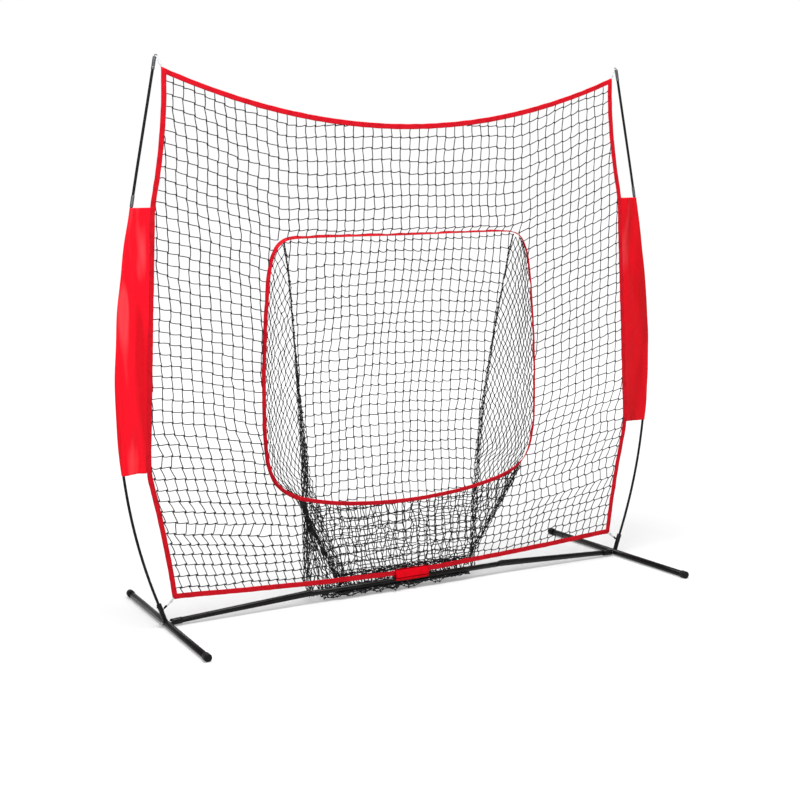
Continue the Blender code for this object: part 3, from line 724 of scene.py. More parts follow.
def weld_bead(shape, centre, lean, radius, foot_dir, foot_r, foot_at):
    """A lumpy ring of weld where the socket's round wall meets the foot tube."""
    count = 72
    turn = 2 * np.pi * np.arange(count) / count
    side = unit(np.cross(lean, foot_dir))
    spokes = circle(count, side, unit(np.cross(side, lean)))
    points = centre + spokes * radius
    off = points - foot_at
    off = off - (off @ foot_dir)[:, None] * foot_dir
    step = off @ lean
    reach = np.sqrt(np.maximum(foot_r ** 2 - ((off * off).sum(1) - step ** 2), 0.0))
    path = points + lean * (reach - step)[:, None] + spokes * 0.0003
    bulge = 0.0016 * (1 + 0.18 * np.sin(turn * 17) + 0.12 * np.sin(turn * 29 + 1))
    out = unit(path - centre)
    lift = np.cross(unit(np.roll(path, -1, 0) - np.roll(path, 1, 0)), out)
    ring_block(shape, path[:, None, :] + bulge[:, None, None] * circle(8, out, lift), closed=True)


def build_hub(side_name, side):
    """The stub at the crossbar's end, the pole socket welded to the foot, and what is fixed to them."""
    sleeve = centre_line(f"{side_name}_stub_sleeve", 0, 0.02)
    sleeve = sleeve[np.argsort(np.abs(sleeve[:, 0]))]
    shape = Shape()
    hollow_block(shape, sleeve, node_radius(f"{side_name}_stub_sleeve"), 0.0023)
    shape.place(f"{side_name}_stub", "steel", "base_frame", f"{side_name}_stub_sleeve")

    mouth, lean, socket_r = socket_axis(side_name)
    front, back, foot_r = foot_frame(side_name)
    hub = 0.5 * (front + back)
    sunk = foot_r * 0.80      # the socket's foot reaches down to this height above the foot tube's axis
    base = mouth - lean * ((mouth[2] - hub[2] - sunk) / lean[2])
    shape = Shape()
    hollow_block(shape, [base, 0.5 * (base + mouth), mouth], socket_r, TUBE_WALL)
    weld_bead(shape, base, lean, socket_r, unit(back - front), foot_r, hub)
    shape.place(f"{side_name}_socket", "steel", "base_frame", f"{side_name}_pole_socket")
    out = unit(hub - sleeve[-1])
    build_bolt(side_name, hub, out)
    build_nut(side_name, hub + out * (foot_r + 0.0008), out)
    build_socket_fittings(side_name, side, mouth, lean, socket_r)


def build_bolt(side_name, hub, out):
    """Bolt through stub and foot, with a rolled thread at its outer end."""
    start, end = hub - out * 0.0375, hub + out * 0.0275
    length = float(np.linalg.norm(end - start))
    thread_r = 0.0034
    profile = [(0.0, 0.0), (0.0, BOLT_R - 0.0004), (0.0004, BOLT_R), (length - 0.015, BOLT_R)]
    at = length - 0.0145
    while at < length - 0.001:
        profile += [(at, BOLT_R), (at + 0.5 * THREAD_PITCH, thread_r)]
        at += THREAD_PITCH
    profile += [(length - 0.0004, thread_r), (length, 0.0030), (length, 0.0)]
    shape = Shape()
    turned_block(shape, start, end, profile, 24)
    shape.place(f"{side_name}_bolt", "zinc", "base_frame", f"{side_name}_foot_bolt", sharp_deg=40)


def build_nut(side_name, seat, out):
    """Hexagon nut with chamfered corners; `flat` is half the width across flats."""
    thick, flat, bore, sides = 0.0065, 0.0065, 0.0043, 48
    up = unit(np.cross(out, [0.0, 1.0, 0.0]))
    spokes = circle(sides, np.cross(up, out), up)
    turn = 2 * np.pi * np.arange(sides) / sides
    hexagon = flat / np.cos((turn + math.pi / 6) % (math.pi / 3) - math.pi / 6)
    chamfer = np.minimum(hexagon, flat * 1.01)
    face = np.minimum(hexagon, flat * 0.97)
    inside = np.full(sides, bore)
    layers = [(0.0, face), (0.0006, chamfer), (0.0011, hexagon), (thick - 0.0011, hexagon),
              (thick - 0.0006, chamfer), (thick, face), (thick, inside), (0.0, inside)]
    shape = Shape()
    ring_block(shape, [seat + out * d + spokes * r[:, None] for d, r in layers], closed=True)
    shape.place(f"{side_name}_nut", "zinc", "base_frame", f"{side_name}_foot_nut", sharp_deg=25)


def build_socket_fittings(side_name, side, mouth, lean, socket_r):
    """Domed rivet on the socket's outer side, and the cord's hook on the side of the net."""
    outward = np.array([side * lean[2], 0, -side * lean[0]])
    outward = unit(outward - np.dot(outward, lean) * lean)
    start = box_middle(f"{side_name}_socket_rivet") - outward * 0.0014
    head = [(0.0, 0.0), (0.0, 0.0033), (0.0006, 0.0034)]
    head += [(0.0006 + d, r) for d, r in dome(0.15, 0.0022, 0.0034)]
    shape = Shape()
    turned_block(shape, start, start + outward * 0.0028, head, 24)
    shape.place(f"{side_name}_rivet", "steel", "base_frame", f"{side_name}_socket_rivet", sharp_deg=50)

    drop = mouth[2] - box_middle(f"{side_name}_cord_hook")[2]
    root = mouth - outward * (socket_r - 0.0004) - lean * (drop / lean[2] + 0.004)
    toward = unit(net_corner(side, -1) - root)
    collar = root + toward * 0.0045
    bend = [root + outward * 0.0006, root - outward * 0.0020, collar, collar + toward * 0.003]
    shape = Shape()
    tube_block(shape, smooth_line(bend, 20)[None], 0.0016, 12)
    seat = [(0, 0.0), (0, 0.0034), (0.0010, 0.0034), (0.0016, 0.0026), (0.0016, 0.0)]
    turned_block(shape, root + outward * 0.0003, root - outward * 0.0016, seat, 24)
    bead = [(0, 0.0), (0, 0.0026), (0.0014, 0.0038), (0.0130, 0.0042), (0.0152, 0.0036)]
    bead += [(0.0160, 0.0022), (0.0160, 0.0)]
    turned_block(shape, collar, collar + toward * 0.0160, bead, 24)
    shape.place(f"{side_name}_socket_hook", "plastic", "base_frame", f"{side_name}_cord_hook", sharp_deg=50)


def net_corner(side, end):
    """Where the cord leaves the tape's lower (end -1) or upper (end 1) corner."""
    height = (NET_HIGH if end > 0 else NET_LOW) - end * CORD_INSET
    return np.array([side * (float(side_edge(height)) - CORD_INSET), 0, height])


def box_middle(node):
    low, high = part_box(node)
    return np.array(0.5 * (low + high))


# ---------------------------------------------------------------- bow poles

def bow_path(side_name, z):
    return np.stack([BOW[side_name](z), np.zeros(len(z)), z], -1)


def build_poles(side_name, side):
    for part, count in (("lower", 26), ("middle", 28), ("upper", 20)):
        node = f"{side_name}_pole_{part}"
        low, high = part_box(node)
        radii = np.full(count, node_radius(node))
        radii[[0, -1]] -= 0.0006
        line = bow_path(side_name, np.linspace(low.z + 0.002, high.z - 0.001, count))
        shape = Shape()
        tube_block(shape, line[None], radii, 24)
        shape.place(f"{side_name}_{part}_pole", "fibreglass", "bow_and_net", node, sharp_deg=50)
    for part in ("lower", "upper"):
        build_ferrule(side_name, part)
    build_tip(side_name, side)


def build_ferrule(side_name, part):
    """Drawn metal sleeve with a crimped groove near each end."""
    node = f"{side_name}_{part}_ferrule"
    low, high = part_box(node)
    radius = node_radius(node)
    z = np.linspace(low.z + 0.001, high.z - 0.001, 60)
    share = (z - z[0]) / (z[-1] - z[0])
    swell = radius - 0.0007 * sum(np.exp(-((share - at) / 0.025) ** 2) for at in (0.16, 0.84))
    swell[[0, -1]] = radius - 0.0005
    path = bow_path(side_name, z)
    front = np.array([0.0, 1.0, 0.0])
    side_dir = unit(np.cross(unit(np.gradient(path, axis=0)), front))
    spokes = circle(FINE, side_dir, np.broadcast_to(front, side_dir.shape))
    bore = radius - 0.0008
    rings = list(path[:, None, :] + swell[:, None, None] * spokes)
    rings += [path[-1] + bore * spokes[-1], path[0] + bore * spokes[0]]
    shape = Shape()
    ring_block(shape, rings, closed=True)
    shape.place(f"{side_name}_{part}_joint_ferrule", "ferrule", "bow_and_net", node, sharp_deg=50)


def build_tip(side_name, side):
    """Metal pole tip with a crimp and a domed end, and the dark hook on top of it."""
    node = f"{side_name}_pole_tip"
    low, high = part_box(node)
    radius = node_radius(node)
    start = np.array([BOW[side_name](low.z + 0.001), 0, low.z + 0.001])
    end = np.array([BOW[side_name](high.z), 0, high.z - 0.0006])
    length = float(np.linalg.norm(end - start))
    crimp = radius - 0.0007
    profile = [(0.0, radius - 0.0009), (0.0, radius - 0.0003), (0.0005, radius), (0.009, radius)]
    profile += [(0.0098, crimp), (0.0108, crimp), (0.0116, radius), (length - TIP_EDGE, radius)]
    profile += [(length - TIP_EDGE + d, r) for d, r in dome(0.15, TIP_EDGE, radius, TIP_EDGE)]
    profile.append((length, 0.0))
    shape = Shape()
    turned_block(shape, start, end, profile)
    shape.place(f"{side_name}_tip", "ferrule", "bow_and_net", node, sharp_deg=50)

    crown = end + [0, 0, 0.0004]
    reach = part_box(f"{side_name}_tip_hook")[1].z - crown[2]
    inward = np.array([-side, 0, 0])
    steps = [(0.0, -0.002), (0.0, 0.003), (0.0022, reach - 0.0022), (0.0052, reach - 0.0016),
             (0.0084, reach - 0.0042), (0.0090, 0.0015)]
    bend = [crown + out * inward + [0, 0, rise] for out, rise in steps]
    shape = Shape()
    tube_block(shape, smooth_line(bend, 26)[None], 0.0015, 12)
    shape.place(f"{side_name}_tip_wire_hook", "plastic", "bow_and_net", f"{side_name}_tip_hook")


def cord_block(shape, a, b, sag):
    """Elastic cord looped through the tape's corner: two strands side by side, and a coil round them."""
    across = unit(np.cross(b - a, [0.0, 1.0, 0.0]))
    for offset in (-0.0019, 0.0019):
        middle = 0.5 * (a + b) + across * offset * 1.5 - [0, 0, sag]
        line = smooth_line([a, a + (middle - a) * 0.5 + across * offset, middle, b], 18)
        tube_block(shape, line[None], 0.0018, 10)
    turn = np.linspace(0, 4 * math.pi, 40)[:, None]
    along = unit(b - a)
    coil = a + (b - a) * 0.36 + along * (turn / (4 * math.pi) - 0.5) * 0.0045 \
        + 0.0036 * (np.cos(turn) * across + np.sin(turn) * np.cross(along, across))
    tube_block(shape, coil[None], 0.0010, 8)


def build_cords(side_name, side):
    low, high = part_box(f"{side_name}_tip_hook")
    hook_at = np.array([(low.x if side > 0 else high.x) + side * 0.0015, 0, low.z + 0.0020])
    shape = Shape()
    cord_block(shape, net_corner(side, 1), hook_at, 0.0)
    shape.place(f"{side_name}_top_elastic", "cord", "bow_and_net", f"{side_name}_top_cord")

    corner = net_corner(side, -1)
    tip = box_middle(f"{side_name}_cord_hook")
    tip = tip + unit(corner - tip) * 0.012
    shape = Shape()
    cord_block(shape, corner, tip, 0.001)
    shape.place(f"{side_name}_bottom_elastic", "cord",
                lambda cord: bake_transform(cord),
                f"{side_name}_bottom_cord")


# ---------------------------------------------------------------- tapes

def softened(values, reach, **padding):
    """Running mean over `reach` neighbours on each side."""
    return np.convolve(np.pad(values, reach, **padding), np.ones(2 * reach + 1) / (2 * reach + 1), "valid")


def plan_point(x, z, y=0.0):
    """Points from x, z and an optional depth, whatever their shapes."""
    return np.stack(np.broadcast_arrays(x, y, z), -1).astype(float)


def stitch_block(shape, first, middle, last, radius):
    """A row of stitches, each an arch over three points."""
    tube_block(shape, np.stack([first, middle, last], 1), radius, 4)


def build_tape(name, node, outer, inner, seed):
    """A folded tape between two edges in the net's plane, with soft puckers and two rows of stitches."""
    centre = 0.5 * (outer + inner)
    reach = 0.5 * (outer - inner)
    run = path_run(centre)
    across = np.array([1.0, 0.97, 0.82, 0.45, 0.0, -0.45, -0.82, -0.97])
    fat = np.array([0.0, 0.55, 0.85, 0.80, 0.85, 0.80, 0.85, 0.55])
    wave = ripple(run, 0 * run, 0.09, seed) * 0.0008
    pucker = 1 + 0.16 * ripple(run, 0 * run, 0.022, seed + 5)
    rings = []
    for u, h in zip(np.concatenate([across, -across]), np.concatenate([-fat, fat])):
        edge_wave = 1 + 0.035 * ripple(run, 0 * run, 0.05, seed + 9 + (1 if u > 0 else 0))
        edge = centre + reach * (u * edge_wave)[:, None]
        rings.append(plan_point(edge[:, 0], edge[:, 1], h * TAPE_PUFF * pucker + wave))
    shape = Shape()
    ring_block(shape, np.stack(rings, 1))
    shape.place(name, "tape", "bow_and_net", node)

    thread = Shape()
    starts = np.arange(0.004, run[-1] - 0.006, STITCH_PITCH)
    for share in (-0.72, 0.72):
        row = centre + reach * share
        for face in (-1, 1):
            first, last = (plan_point(*points_at(at, run, row).T,
                                      np.interp(at, run, wave) + face * (TAPE_PUFF - 0.0002))
                           for at in (starts, starts + STITCH_LENGTH))
            sunk = np.array([0, face * 0.0004, 0])
            middle = 0.5 * (first + last) + np.array([0, face * 0.00025, 0])
            stitch_block(thread, first - sunk, middle, last - sunk, 0.00032)
    thread.place(f"{name}_stitches", "thread", "bow_and_net")


def build_tapes():
    for index, (side_name, side) in enumerate(SIDES):
        z = np.linspace(NET_LOW, NET_HIGH, 240)
        edge = softened(side_edge(z), 6, mode="reflect", reflect_type="odd")
        outer = np.stack([side * edge, z], -1)
        inner = np.stack([side * (edge - TAPE_WIDTH), np.minimum(z, NET_HIGH - 0.40 * TAPE_WIDTH)], -1)
        build_tape(f"{side_name}_border_tape", f"{side_name}_side_tape", outer, inner, 20 + index)

    def level_tape(name, node, x, z, width, seed):
        build_tape(name, node, np.stack([x, z], -1), np.stack([x, z + width], -1), seed)
    share = np.linspace(-1, 1, 260)
    x_high, x_low = (share * (side_edge(at) - 0.35 * TAPE_WIDTH) for at in (NET_HIGH, NET_LOW))
    crest = np.array([(g[:, 0].mean(), g[:, 2].max()) for g in sections("top_tape", 0, 0.01)])
    curve = np.polyfit(*crest.T, 2)
    level_tape("upper_border_tape", "top_tape", x_high, np.polyval(curve, x_high), -TAPE_WIDTH, 31)
    z = softened(bottom_edge(x_low), 6, mode="edge") + 0.0007 * ripple(x_low, 0 * x_low, 0.35, 5)
    level_tape("lower_border_tape", "bottom_tape", x_low, z, TAPE_WIDTH, 33)


def opening_loop(count):
    """Evenly spaced (x, z) points round the opening, and the distance to each."""
    angle = np.linspace(-np.pi, np.pi, 1441)
    reach = softened(opening_reach(angle), 12, mode="wrap")
    fine = OPENING_CENTRE + reach[:, None] * np.stack([np.cos(angle), np.sin(angle)], -1)
    run = path_run(fine)
    want = np.linspace(0, run[-1], count, endpoint=False)
    return points_at(want, run, fine), want


def build_binding():
    """Tape round the opening, nearly edge-on at the top and lying in the net's plane at the bottom."""
    loop, run = opening_loop(520)
    ahead = unit(np.roll(loop, -1, 0) - np.roll(loop, 1, 0))
    outward = plan_point(ahead[:, 1], -ahead[:, 0])
    phase = 2 * np.pi * run / (run[-1] + run[1])
    flutter = sum(size * np.cos(phase * turns + start) for turns, start, size in BINDING_WAVES)
    settle = between(loop[:, 1], *BINDING_TURN_Z)
    lean = binding_lean(loop[:, 0], loop[:, 1]) + 0.07 * flutter * (0.3 + 0.7 * settle)
    depth = BINDING_FRONT_Y + 0.5 * BINDING_WIDTH * (1 - np.clip(np.sin(lean), 0, 1)) + 0.002
    shift = 0.0006 * flutter * (0.4 + 0.6 * settle)
    centre = plan_point(loop[:, 0], loop[:, 1], depth) + outward * shift[:, None]
    wide = unit(np.cos(lean)[:, None] * np.array([0.0, 1.0, 0.0]) + np.sin(lean)[:, None] * outward)
    thick = unit(np.cross(wide, plan_point(ahead[:, 0], ahead[:, 1])))
    across = np.array([1.0, 0.95, 0.6, 0.0, -0.6, -0.95])
    fat = np.array([0.0, 0.7, 0.9, 0.85, 0.9, 0.7])
    across, fat = (np.concatenate([part, -part])[None, :, None] for part in (across, fat))
    shape = Shape()
    ring_block(shape, centre[:, None, :] + 0.5 * BINDING_WIDTH * across * wide[:, None, :]
               + BINDING_PUFF * fat * thick[:, None, :], closed=True)
    shape.place("opening_tape", "binding", "bow_and_net", "opening_binding")

    thread = Shape()
    for share in (-0.7, 0.7):
        for face in (-1, 1):
            line = centre + 0.5 * BINDING_WIDTH * share * wide + face * (BINDING_PUFF - 0.0002) * thick
            raised = line[1::4] + face * 0.0002 * thick[1::4]
            stitch_block(thread, line[0::4], raised, line[2::4], 0.0003)
    thread.place("opening_tape_stitches", "thread", "bow_and_net")


# ---------------------------------------------------------------- pole sleeves

def build_sleeve(side_name, side):
    """Two layers of nylon from the side tape round the pole, with soft wrinkles and stitched hems."""
    low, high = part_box(f"{side_name}_pole_sleeve")
    rows, flat_steps, arc_steps = 170, 26, 12
    z = np.linspace(low.z, high.z, rows)
    bow = np.abs(BOW[side_name](z))
    tail = side_edge(z) - 0.003
    seed = 40 if side < 0 else 50
    u = np.linspace(0, 1, flat_steps)
    half = SLEEVE_FLAT + (SLEEVE_R - SLEEVE_FLAT) * u ** 2.2
    arc = np.radians(np.linspace(-100, 100, arc_steps + 2)[1:-1])
    bend = u * (1 - u) * 4
    room = np.concatenate([bend, np.zeros(arc_steps), bend[::-1]])
    on_arc = np.concatenate([np.zeros(flat_steps), np.ones(arc_steps), np.zeros(flat_steps)])
    rings = []
    for k, height in enumerate(z):
        share = k / (rows - 1)
        x_flat = tail[k] + (bow[k] - 0.002 - tail[k]) * u
        x = np.concatenate([x_flat, bow[k] + SLEEVE_R * np.cos(arc), x_flat[::-1]])
        y = np.concatenate([-half, SLEEVE_R * np.sin(arc), half[::-1]])
        pull = 0.0060 * ripple(x * 1.6, height * 0.30 + 0.35 * x, 0.16, seed)
        pull += 0.0014 * ripple(x * 1.8, height * 0.55 + 0.5 * x, 0.09, seed + 3)
        ends = np.exp(-share / 0.05) + np.exp(-(1 - share) / 0.05)
        pull += 0.0022 * ends * np.sin((x - tail[k]) * 190 + seed)
        x = x + 0.0016 * ripple(x * 0 + side, height + 0 * x, 0.16, seed + 7) * on_arc
        rings.append(plan_point(side * x, height, y + room * pull))
    rings = np.array(rings)
    shape = Shape()
    ring_block(shape, rings, capped=False)
    shape.place(f"{side_name}_sleeve", f"{side_name}_sleeve", ride_as_cloth, f"{side_name}_pole_sleeve")
    build_sleeve_stitches(side_name, rings)


def ride_as_cloth(sleeve):
    """Give the sleeve's skin the thickness of the cloth, then let it ride the bow."""
    shell = sleeve.modifiers.new("cloth_thickness", "SOLIDIFY")
    shell.thickness = 0.0007
    shell.offset = -1.0
    bpy.context.view_layer.objects.active = sleeve
    sleeve.select_set(True)
    bpy.ops.object.modifier_apply(modifier=shell.name)
    sleeve.select_set(False)
    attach(sleeve, "bow_and_net")


def build_sleeve_stitches(side_name, rings):
    """Hem stitches across both ends and a line of stitches beside the pole."""
    thread = Shape()
    for row in (5, len(rings) - 6):
        for face, lift in ((slice(1, 25), -0.0004), (slice(-25, -1), 0.0004)):
            line = rings[row][face]
            count = max(int(np.ptp(line[:, 0]) / 0.006), 4)
            dense = points_at(np.linspace(0, 1, count * 3), np.linspace(0, 1, len(line)), line)
            stitch_block(thread, dense[0::3], dense[1::3] + [0, lift, 0], dense[2::3], 0.00035)
    for column, lift in ((22, -0.0005), (rings.shape[1] - 23, 0.0005)):
        first, last = rings[0:-2:2, column] + [0, lift, 0], rings[2::2, column] + [0, lift, 0]
        last = first + 0.62 * (last - first)
        middle = 0.5 * (first + last) + [0, 0.3 * lift, 0]
        stitch_block(thread, first, middle, last, 0.00035)
    thread.place(f"{side_name}_sleeve_stitches", "thread", "bow_and_net", slot="red_nylon")


# ---------------------------------------------------------------- centre strap

def strap_block(shape, profile, node, seed, count):
    """A strip as wide as the node that follows a (y, z) profile, with rounded edges and slight curl."""
    low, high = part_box(node)
    profile = smooth_line(profile, count)
    ahead = unit(np.gradient(profile, axis=0))
    across = np.concatenate([np.linspace(low.x, high.x, 15), np.linspace(high.x, low.x, 15)])
    layer = np.concatenate([np.full(15, 0.5), np.full(15, -0.5)])
    layer[[0, 14, 15, 29]] *= 0.4
    rings = []
    for k in range(count):
        off = layer * STRAP_THICKNESS + 0.0004 * ripple(across, np.full(30, k / count * 0.05), 0.05, seed)
        y, z = profile[k]
        rings.append(plan_point(across, z + ahead[k, 0] * off, y - ahead[k, 1] * off))
    ring_block(shape, rings)


def build_strap():
    """Hook-and-loop strap round the crossbar, sewn to the net's lower tape, with its flap in front."""
    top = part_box("centre_strap")[1].z
    low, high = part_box("crossbar_centre_tube")
    bar_z = 0.5 * (low.z + high.z)
    wrap = 0.5 * (high.z - low.z) + 0.0013
    profile = [(0.0032, top), (0.0075, top - 0.018)]
    round_bar = np.radians(np.linspace(25, -180, 14))
    profile += [(wrap * math.cos(a), bar_z + wrap * math.sin(a)) for a in round_bar]
    profile.append((-wrap + 0.0002, bar_z + 0.0028))
    shape = Shape()
    strap_block(shape, profile, "centre_strap", 61, 90)
    shape.place("strap_wrap", "strap", lambda strap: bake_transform(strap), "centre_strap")

    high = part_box("strap_flap")[1]
    _, y, z = next(joint for joint in frame["joints"] if joint["name"] == "flap_peel")["pos_m"]
    profile = [(y, z + 0.0006), (y + 0.0012, z + 0.012), (y + 0.0040, z + 0.024)]
    profile.append((high.y - 0.0012, high.z - 0.0006))
    shape = Shape()
    strap_block(shape, profile, "strap_flap", 63, 40)
    shape.place("strap_front_flap", "strap", "flap", "strap_flap")


# ---------------------------------------------------------------- netting

def knot_template():
    """A small lumpy bead: three rings of six points and two poles."""
    rings = [(-0.62, 0.72), (0.0, 1.0), (0.62, 0.72)]
    points = [(-1.0, 0.0, 0.0)]
    for k, (at, radius) in enumerate(rings):
        for i in range(6):
            a = 2 * math.pi * (i + 0.5 * k) / 6
            points.append((at, radius * math.cos(a), radius * math.sin(a)))
    points.append((1.0, 0.0, 0.0))
    faces = [(0, 1 + (i + 1) % 6, 1 + i) for i in range(6)]
    for k in range(2):
        a, b = 1 + 6 * k, 7 + 6 * k
        for i in range(6):
            j = (i + 1) % 6
            faces += [(a + i, a + j, b + i), (a + j, b + j, b + i)]
    faces += [(13 + i, 13 + (i + 1) % 6, 19) for i in range(6)]
    return np.array(points), np.array(faces)


KNOT_POINTS, KNOT_FACES = knot_template()


def knot_block(shape, centres, size, seed):
    """Knots at the given centres, each turned and scaled a little differently."""
    local = np.random.default_rng(seed)
    count = len(centres)
    tilt = local.normal(0, 0.25, count)
    slant = local.choice([-0.7, 0.7], count)
    axis = unit(plan_point(1.0, slant, tilt))
    side = unit(np.cross(axis, [0.0, 1.0, 0.0]))
    up = np.cross(side, axis)
    scale = size * local.uniform(0.85, 1.15, (count, 3)) * np.array([1.15, 0.95, 0.95])
    own = KNOT_POINTS[None] * scale[:, None, :]
    points = centres[:, None, :] + own[..., 0:1] * axis[:, None, :] \
        + own[..., 1:2] * side[:, None, :] + own[..., 2:3] * up[:, None, :]
    faces = KNOT_FACES[None] + (np.arange(count) * len(KNOT_POINTS))[:, None, None]
    shape.add(points, faces.reshape(-1, 3))


def clip_strands(a, b, inside):
    """Cut strands that leave a region. inside(points) says which points lie in it."""
    in_a, in_b = inside(a), inside(b)
    keep = in_a | in_b
    a, b, in_a, in_b = a[keep].copy(), b[keep].copy(), in_a[keep], in_b[keep]
    for start, finish, flag in ((a, b, in_a & ~in_b), (b, a, in_b & ~in_a)):
        cut = last_inside(lambda p: inside(p)[:, None], start[flag], finish[flag], 14)
        finish[flag] = cut + unit(cut - start[flag]) * CLIP_TUCK
    length = np.linalg.norm(b - a, axis=1)
    return a[length > 0.004], b[length > 0.004]


def square_mesh(grid, inside=None):
    """Level strands, upright strands and knots of a grid of points, cut to a region if there is one."""
    level = (grid[:, :-1].reshape(-1, 3), grid[:, 1:].reshape(-1, 3))
    upright = (grid[:-1].reshape(-1, 3), grid[1:].reshape(-1, 3))
    knots = grid.reshape(-1, 3)
    if inside is None:
        return level, upright, knots
    return clip_strands(*level, inside), clip_strands(*upright, inside), knots[inside(knots)]


def strand_block(shape, a, b, lift, sway, droop, seed, radius):
    """Slightly bent strands of twine.

    lift shifts the two ends opposite ways, which gives the net its saw-tooth look.
    """
    local = np.random.default_rng(seed)
    t = np.linspace(0, 1, 5)[None, :, None]
    a = a + lift
    b = b - lift
    bend = local.normal(0, 1, (len(a), 1, 3)) * np.array(sway) - [0, 0, droop]
    paths = a[:, None, :] * (1 - t) + b[:, None, :] * t + bend * 4 * t * (1 - t)
    tube_block(shape, paths, radius * local.uniform(0.92, 1.08, (len(a), 1)), 5)


def net_piece(name, body, node, strands, knots, seed, radius=TWINE_R, knot_size=KNOT_R):
    """One piece of netting from groups of strands (a, b, lift, sway, droop) and from knots."""
    shape = Shape()
    for index, group in enumerate(strands):
        strand_block(shape, *group, seed + index, radius)
    knot_block(shape, knots, knot_size, seed + 50)
    shape.place(name, "net", body, node)


def pocket_net(name, strands, knots, seed, radius=POCKET_TWINE_R, knot_size=KNOT_R):
    net_piece(name, blend_pocket, "ball_pocket", strands, knots, seed, radius, knot_size)


def blend_pocket(obj):
    """Bake the piece's placement into its points; the piece is not tied to any body."""
    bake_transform(obj)


def soft_ramp(t, soft=0.05):
    """t up to 1, then level, with a rounded corner."""
    over = t - 1
    return np.maximum(t - 0.5 * (over + np.sqrt(over * over + soft * soft)), 0)


# How far a row falls between the side tape and the crease, for its height at the tape
DROP_HEIGHTS = (0.11, 0.33, 0.60, 0.80, 1.10, 1.40, 1.77, 2.01)
DROPS = (0.030, 0.075, 0.095, 0.120, 0.150, 0.170, 0.180, 0.160)


def main_net_grid():
    """Knots of the main net: rows fall from the side tapes to the crease, and run level in the middle."""
    columns = (np.arange(-31, 31) + 0.5) * COLUMN
    rows = np.arange(-3, 50)
    column, row = np.meshgrid(columns, rows)
    at_side = NET_LOW + 0.046 + row * ROW
    drop = np.interp(at_side, DROP_HEIGHTS, DROPS)
    curve = 1.0 + 0.30 * np.exp(-((at_side - 0.85) / 0.35) ** 2)
    x, z = column.copy(), at_side.copy()
    for _ in range(10):
        reach = side_edge(np.clip(at_side, NET_LOW, NET_HIGH))
        share = np.clip((reach - np.abs(x)) / (reach - CREASE_X), 0, None)
        z = at_side - drop * soft_ramp(share) ** curve
        x = column * (1 - 0.125 * between(z, 0.78, 0.12))    # the uprights draw together towards the ground
    x += shear_bands(x, z)
    # beside the lower half of the opening they lean in
    lean = np.exp(-((z - 0.60) / 0.17) ** 2) * np.exp(-((np.abs(x) - 0.70) / 0.10) ** 2)
    x -= np.sign(x) * 0.016 * lean
    x += 0.0030 * ripple(x, z, 0.25, 71) + rng.normal(0, 0.0012, x.shape)
    z += 0.0032 * ripple(x, z, 0.30, 72) + rng.normal(0, 0.0012, x.shape)
    billow = 0.0035 * ripple(x, z, 0.45, 73) + rng.normal(0, 0.0008, x.shape)
    return plan_point(x, z, billow * between(inside_tapes(x, z), 0, 0.06))


def inside_tapes(x, z):
    """Distance in from the inner edge of the nearest border tape, below 0 on the tape."""
    beside = side_edge(np.clip(z, NET_LOW, NET_HIGH)) - np.abs(x)
    below = z - bottom_edge(x)
    above = top_edge(np.clip(np.abs(x), 0, TOP_CORNER_X)) - z
    return np.minimum(np.minimum(beside, below), above) - TAPE_WIDTH


def shear_bands(x, z):
    """Bands where the uprights jog sideways, as slack netting does."""
    jog = np.zeros_like(x)
    for side, height, slope, size, near, far in (
            (-1, 0.655, -0.03, 0.018, 0.96, 1.12), (-1, 0.405, -0.16, 0.024, 0.60, 1.06),
            (1, 0.620, -0.10, 0.016, 0.88, 1.10), (1, 0.405, -0.14, 0.024, 0.56, 1.06)):
        line = height + slope * (1.05 - np.abs(x))
        window = between(side * x, near, near + 0.05) * between(side * x, far, far - 0.05)
        jog -= side * size * window * np.tanh((z - line) / 0.012) * np.exp(-((z - line) / 0.055) ** 2)
    return jog


def in_main_net(p):
    x, z = p[..., 0], p[..., 2]
    reach, _ = binding_rear(x, z)
    return (inside_tapes(x, z) > 0) & ~in_opening(x, z, reach)


def build_main_net():
    level, upright, knots = square_mesh(main_net_grid(), in_main_net)
    level, upright = ([to_binding(end) for end in pair] for pair in (level, upright))
    knots = to_binding(knots)
    for name, low, high in (("upper_main_net", NET_SPLIT_Z, math.inf),
                            ("lower_main_net", -math.inf, NET_SPLIT_Z)):
        def part(pair):
            z = 0.5 * (pair[0][:, 2] + pair[1][:, 2])
            chosen = (z >= low) & (z < high)
            return pair[0][chosen], pair[1][chosen]
        across, up = part(level), part(upright)
        amount = 0.0012 + 0.0034 * between(up[0][:, 2], 0.85, 0.35)
        jog = np.stack([-np.sign(up[0][:, 0]) * amount, 0 * amount, 0 * amount], -1)
        strands = [(*across, np.array([0, 0, -0.0024]), (0.0006, 0.0006, 0.0013), 0.0012),
                   (*up, jog, (0.0012, 0.0006, 0.0006), 0)]
        chosen = knots[(knots[:, 2] >= low) & (knots[:, 2] < high)]
        net_piece(name, "bow_and_net", "main_net", strands, chosen, 100)


# ---------------------------------------------------------------- ball pocket

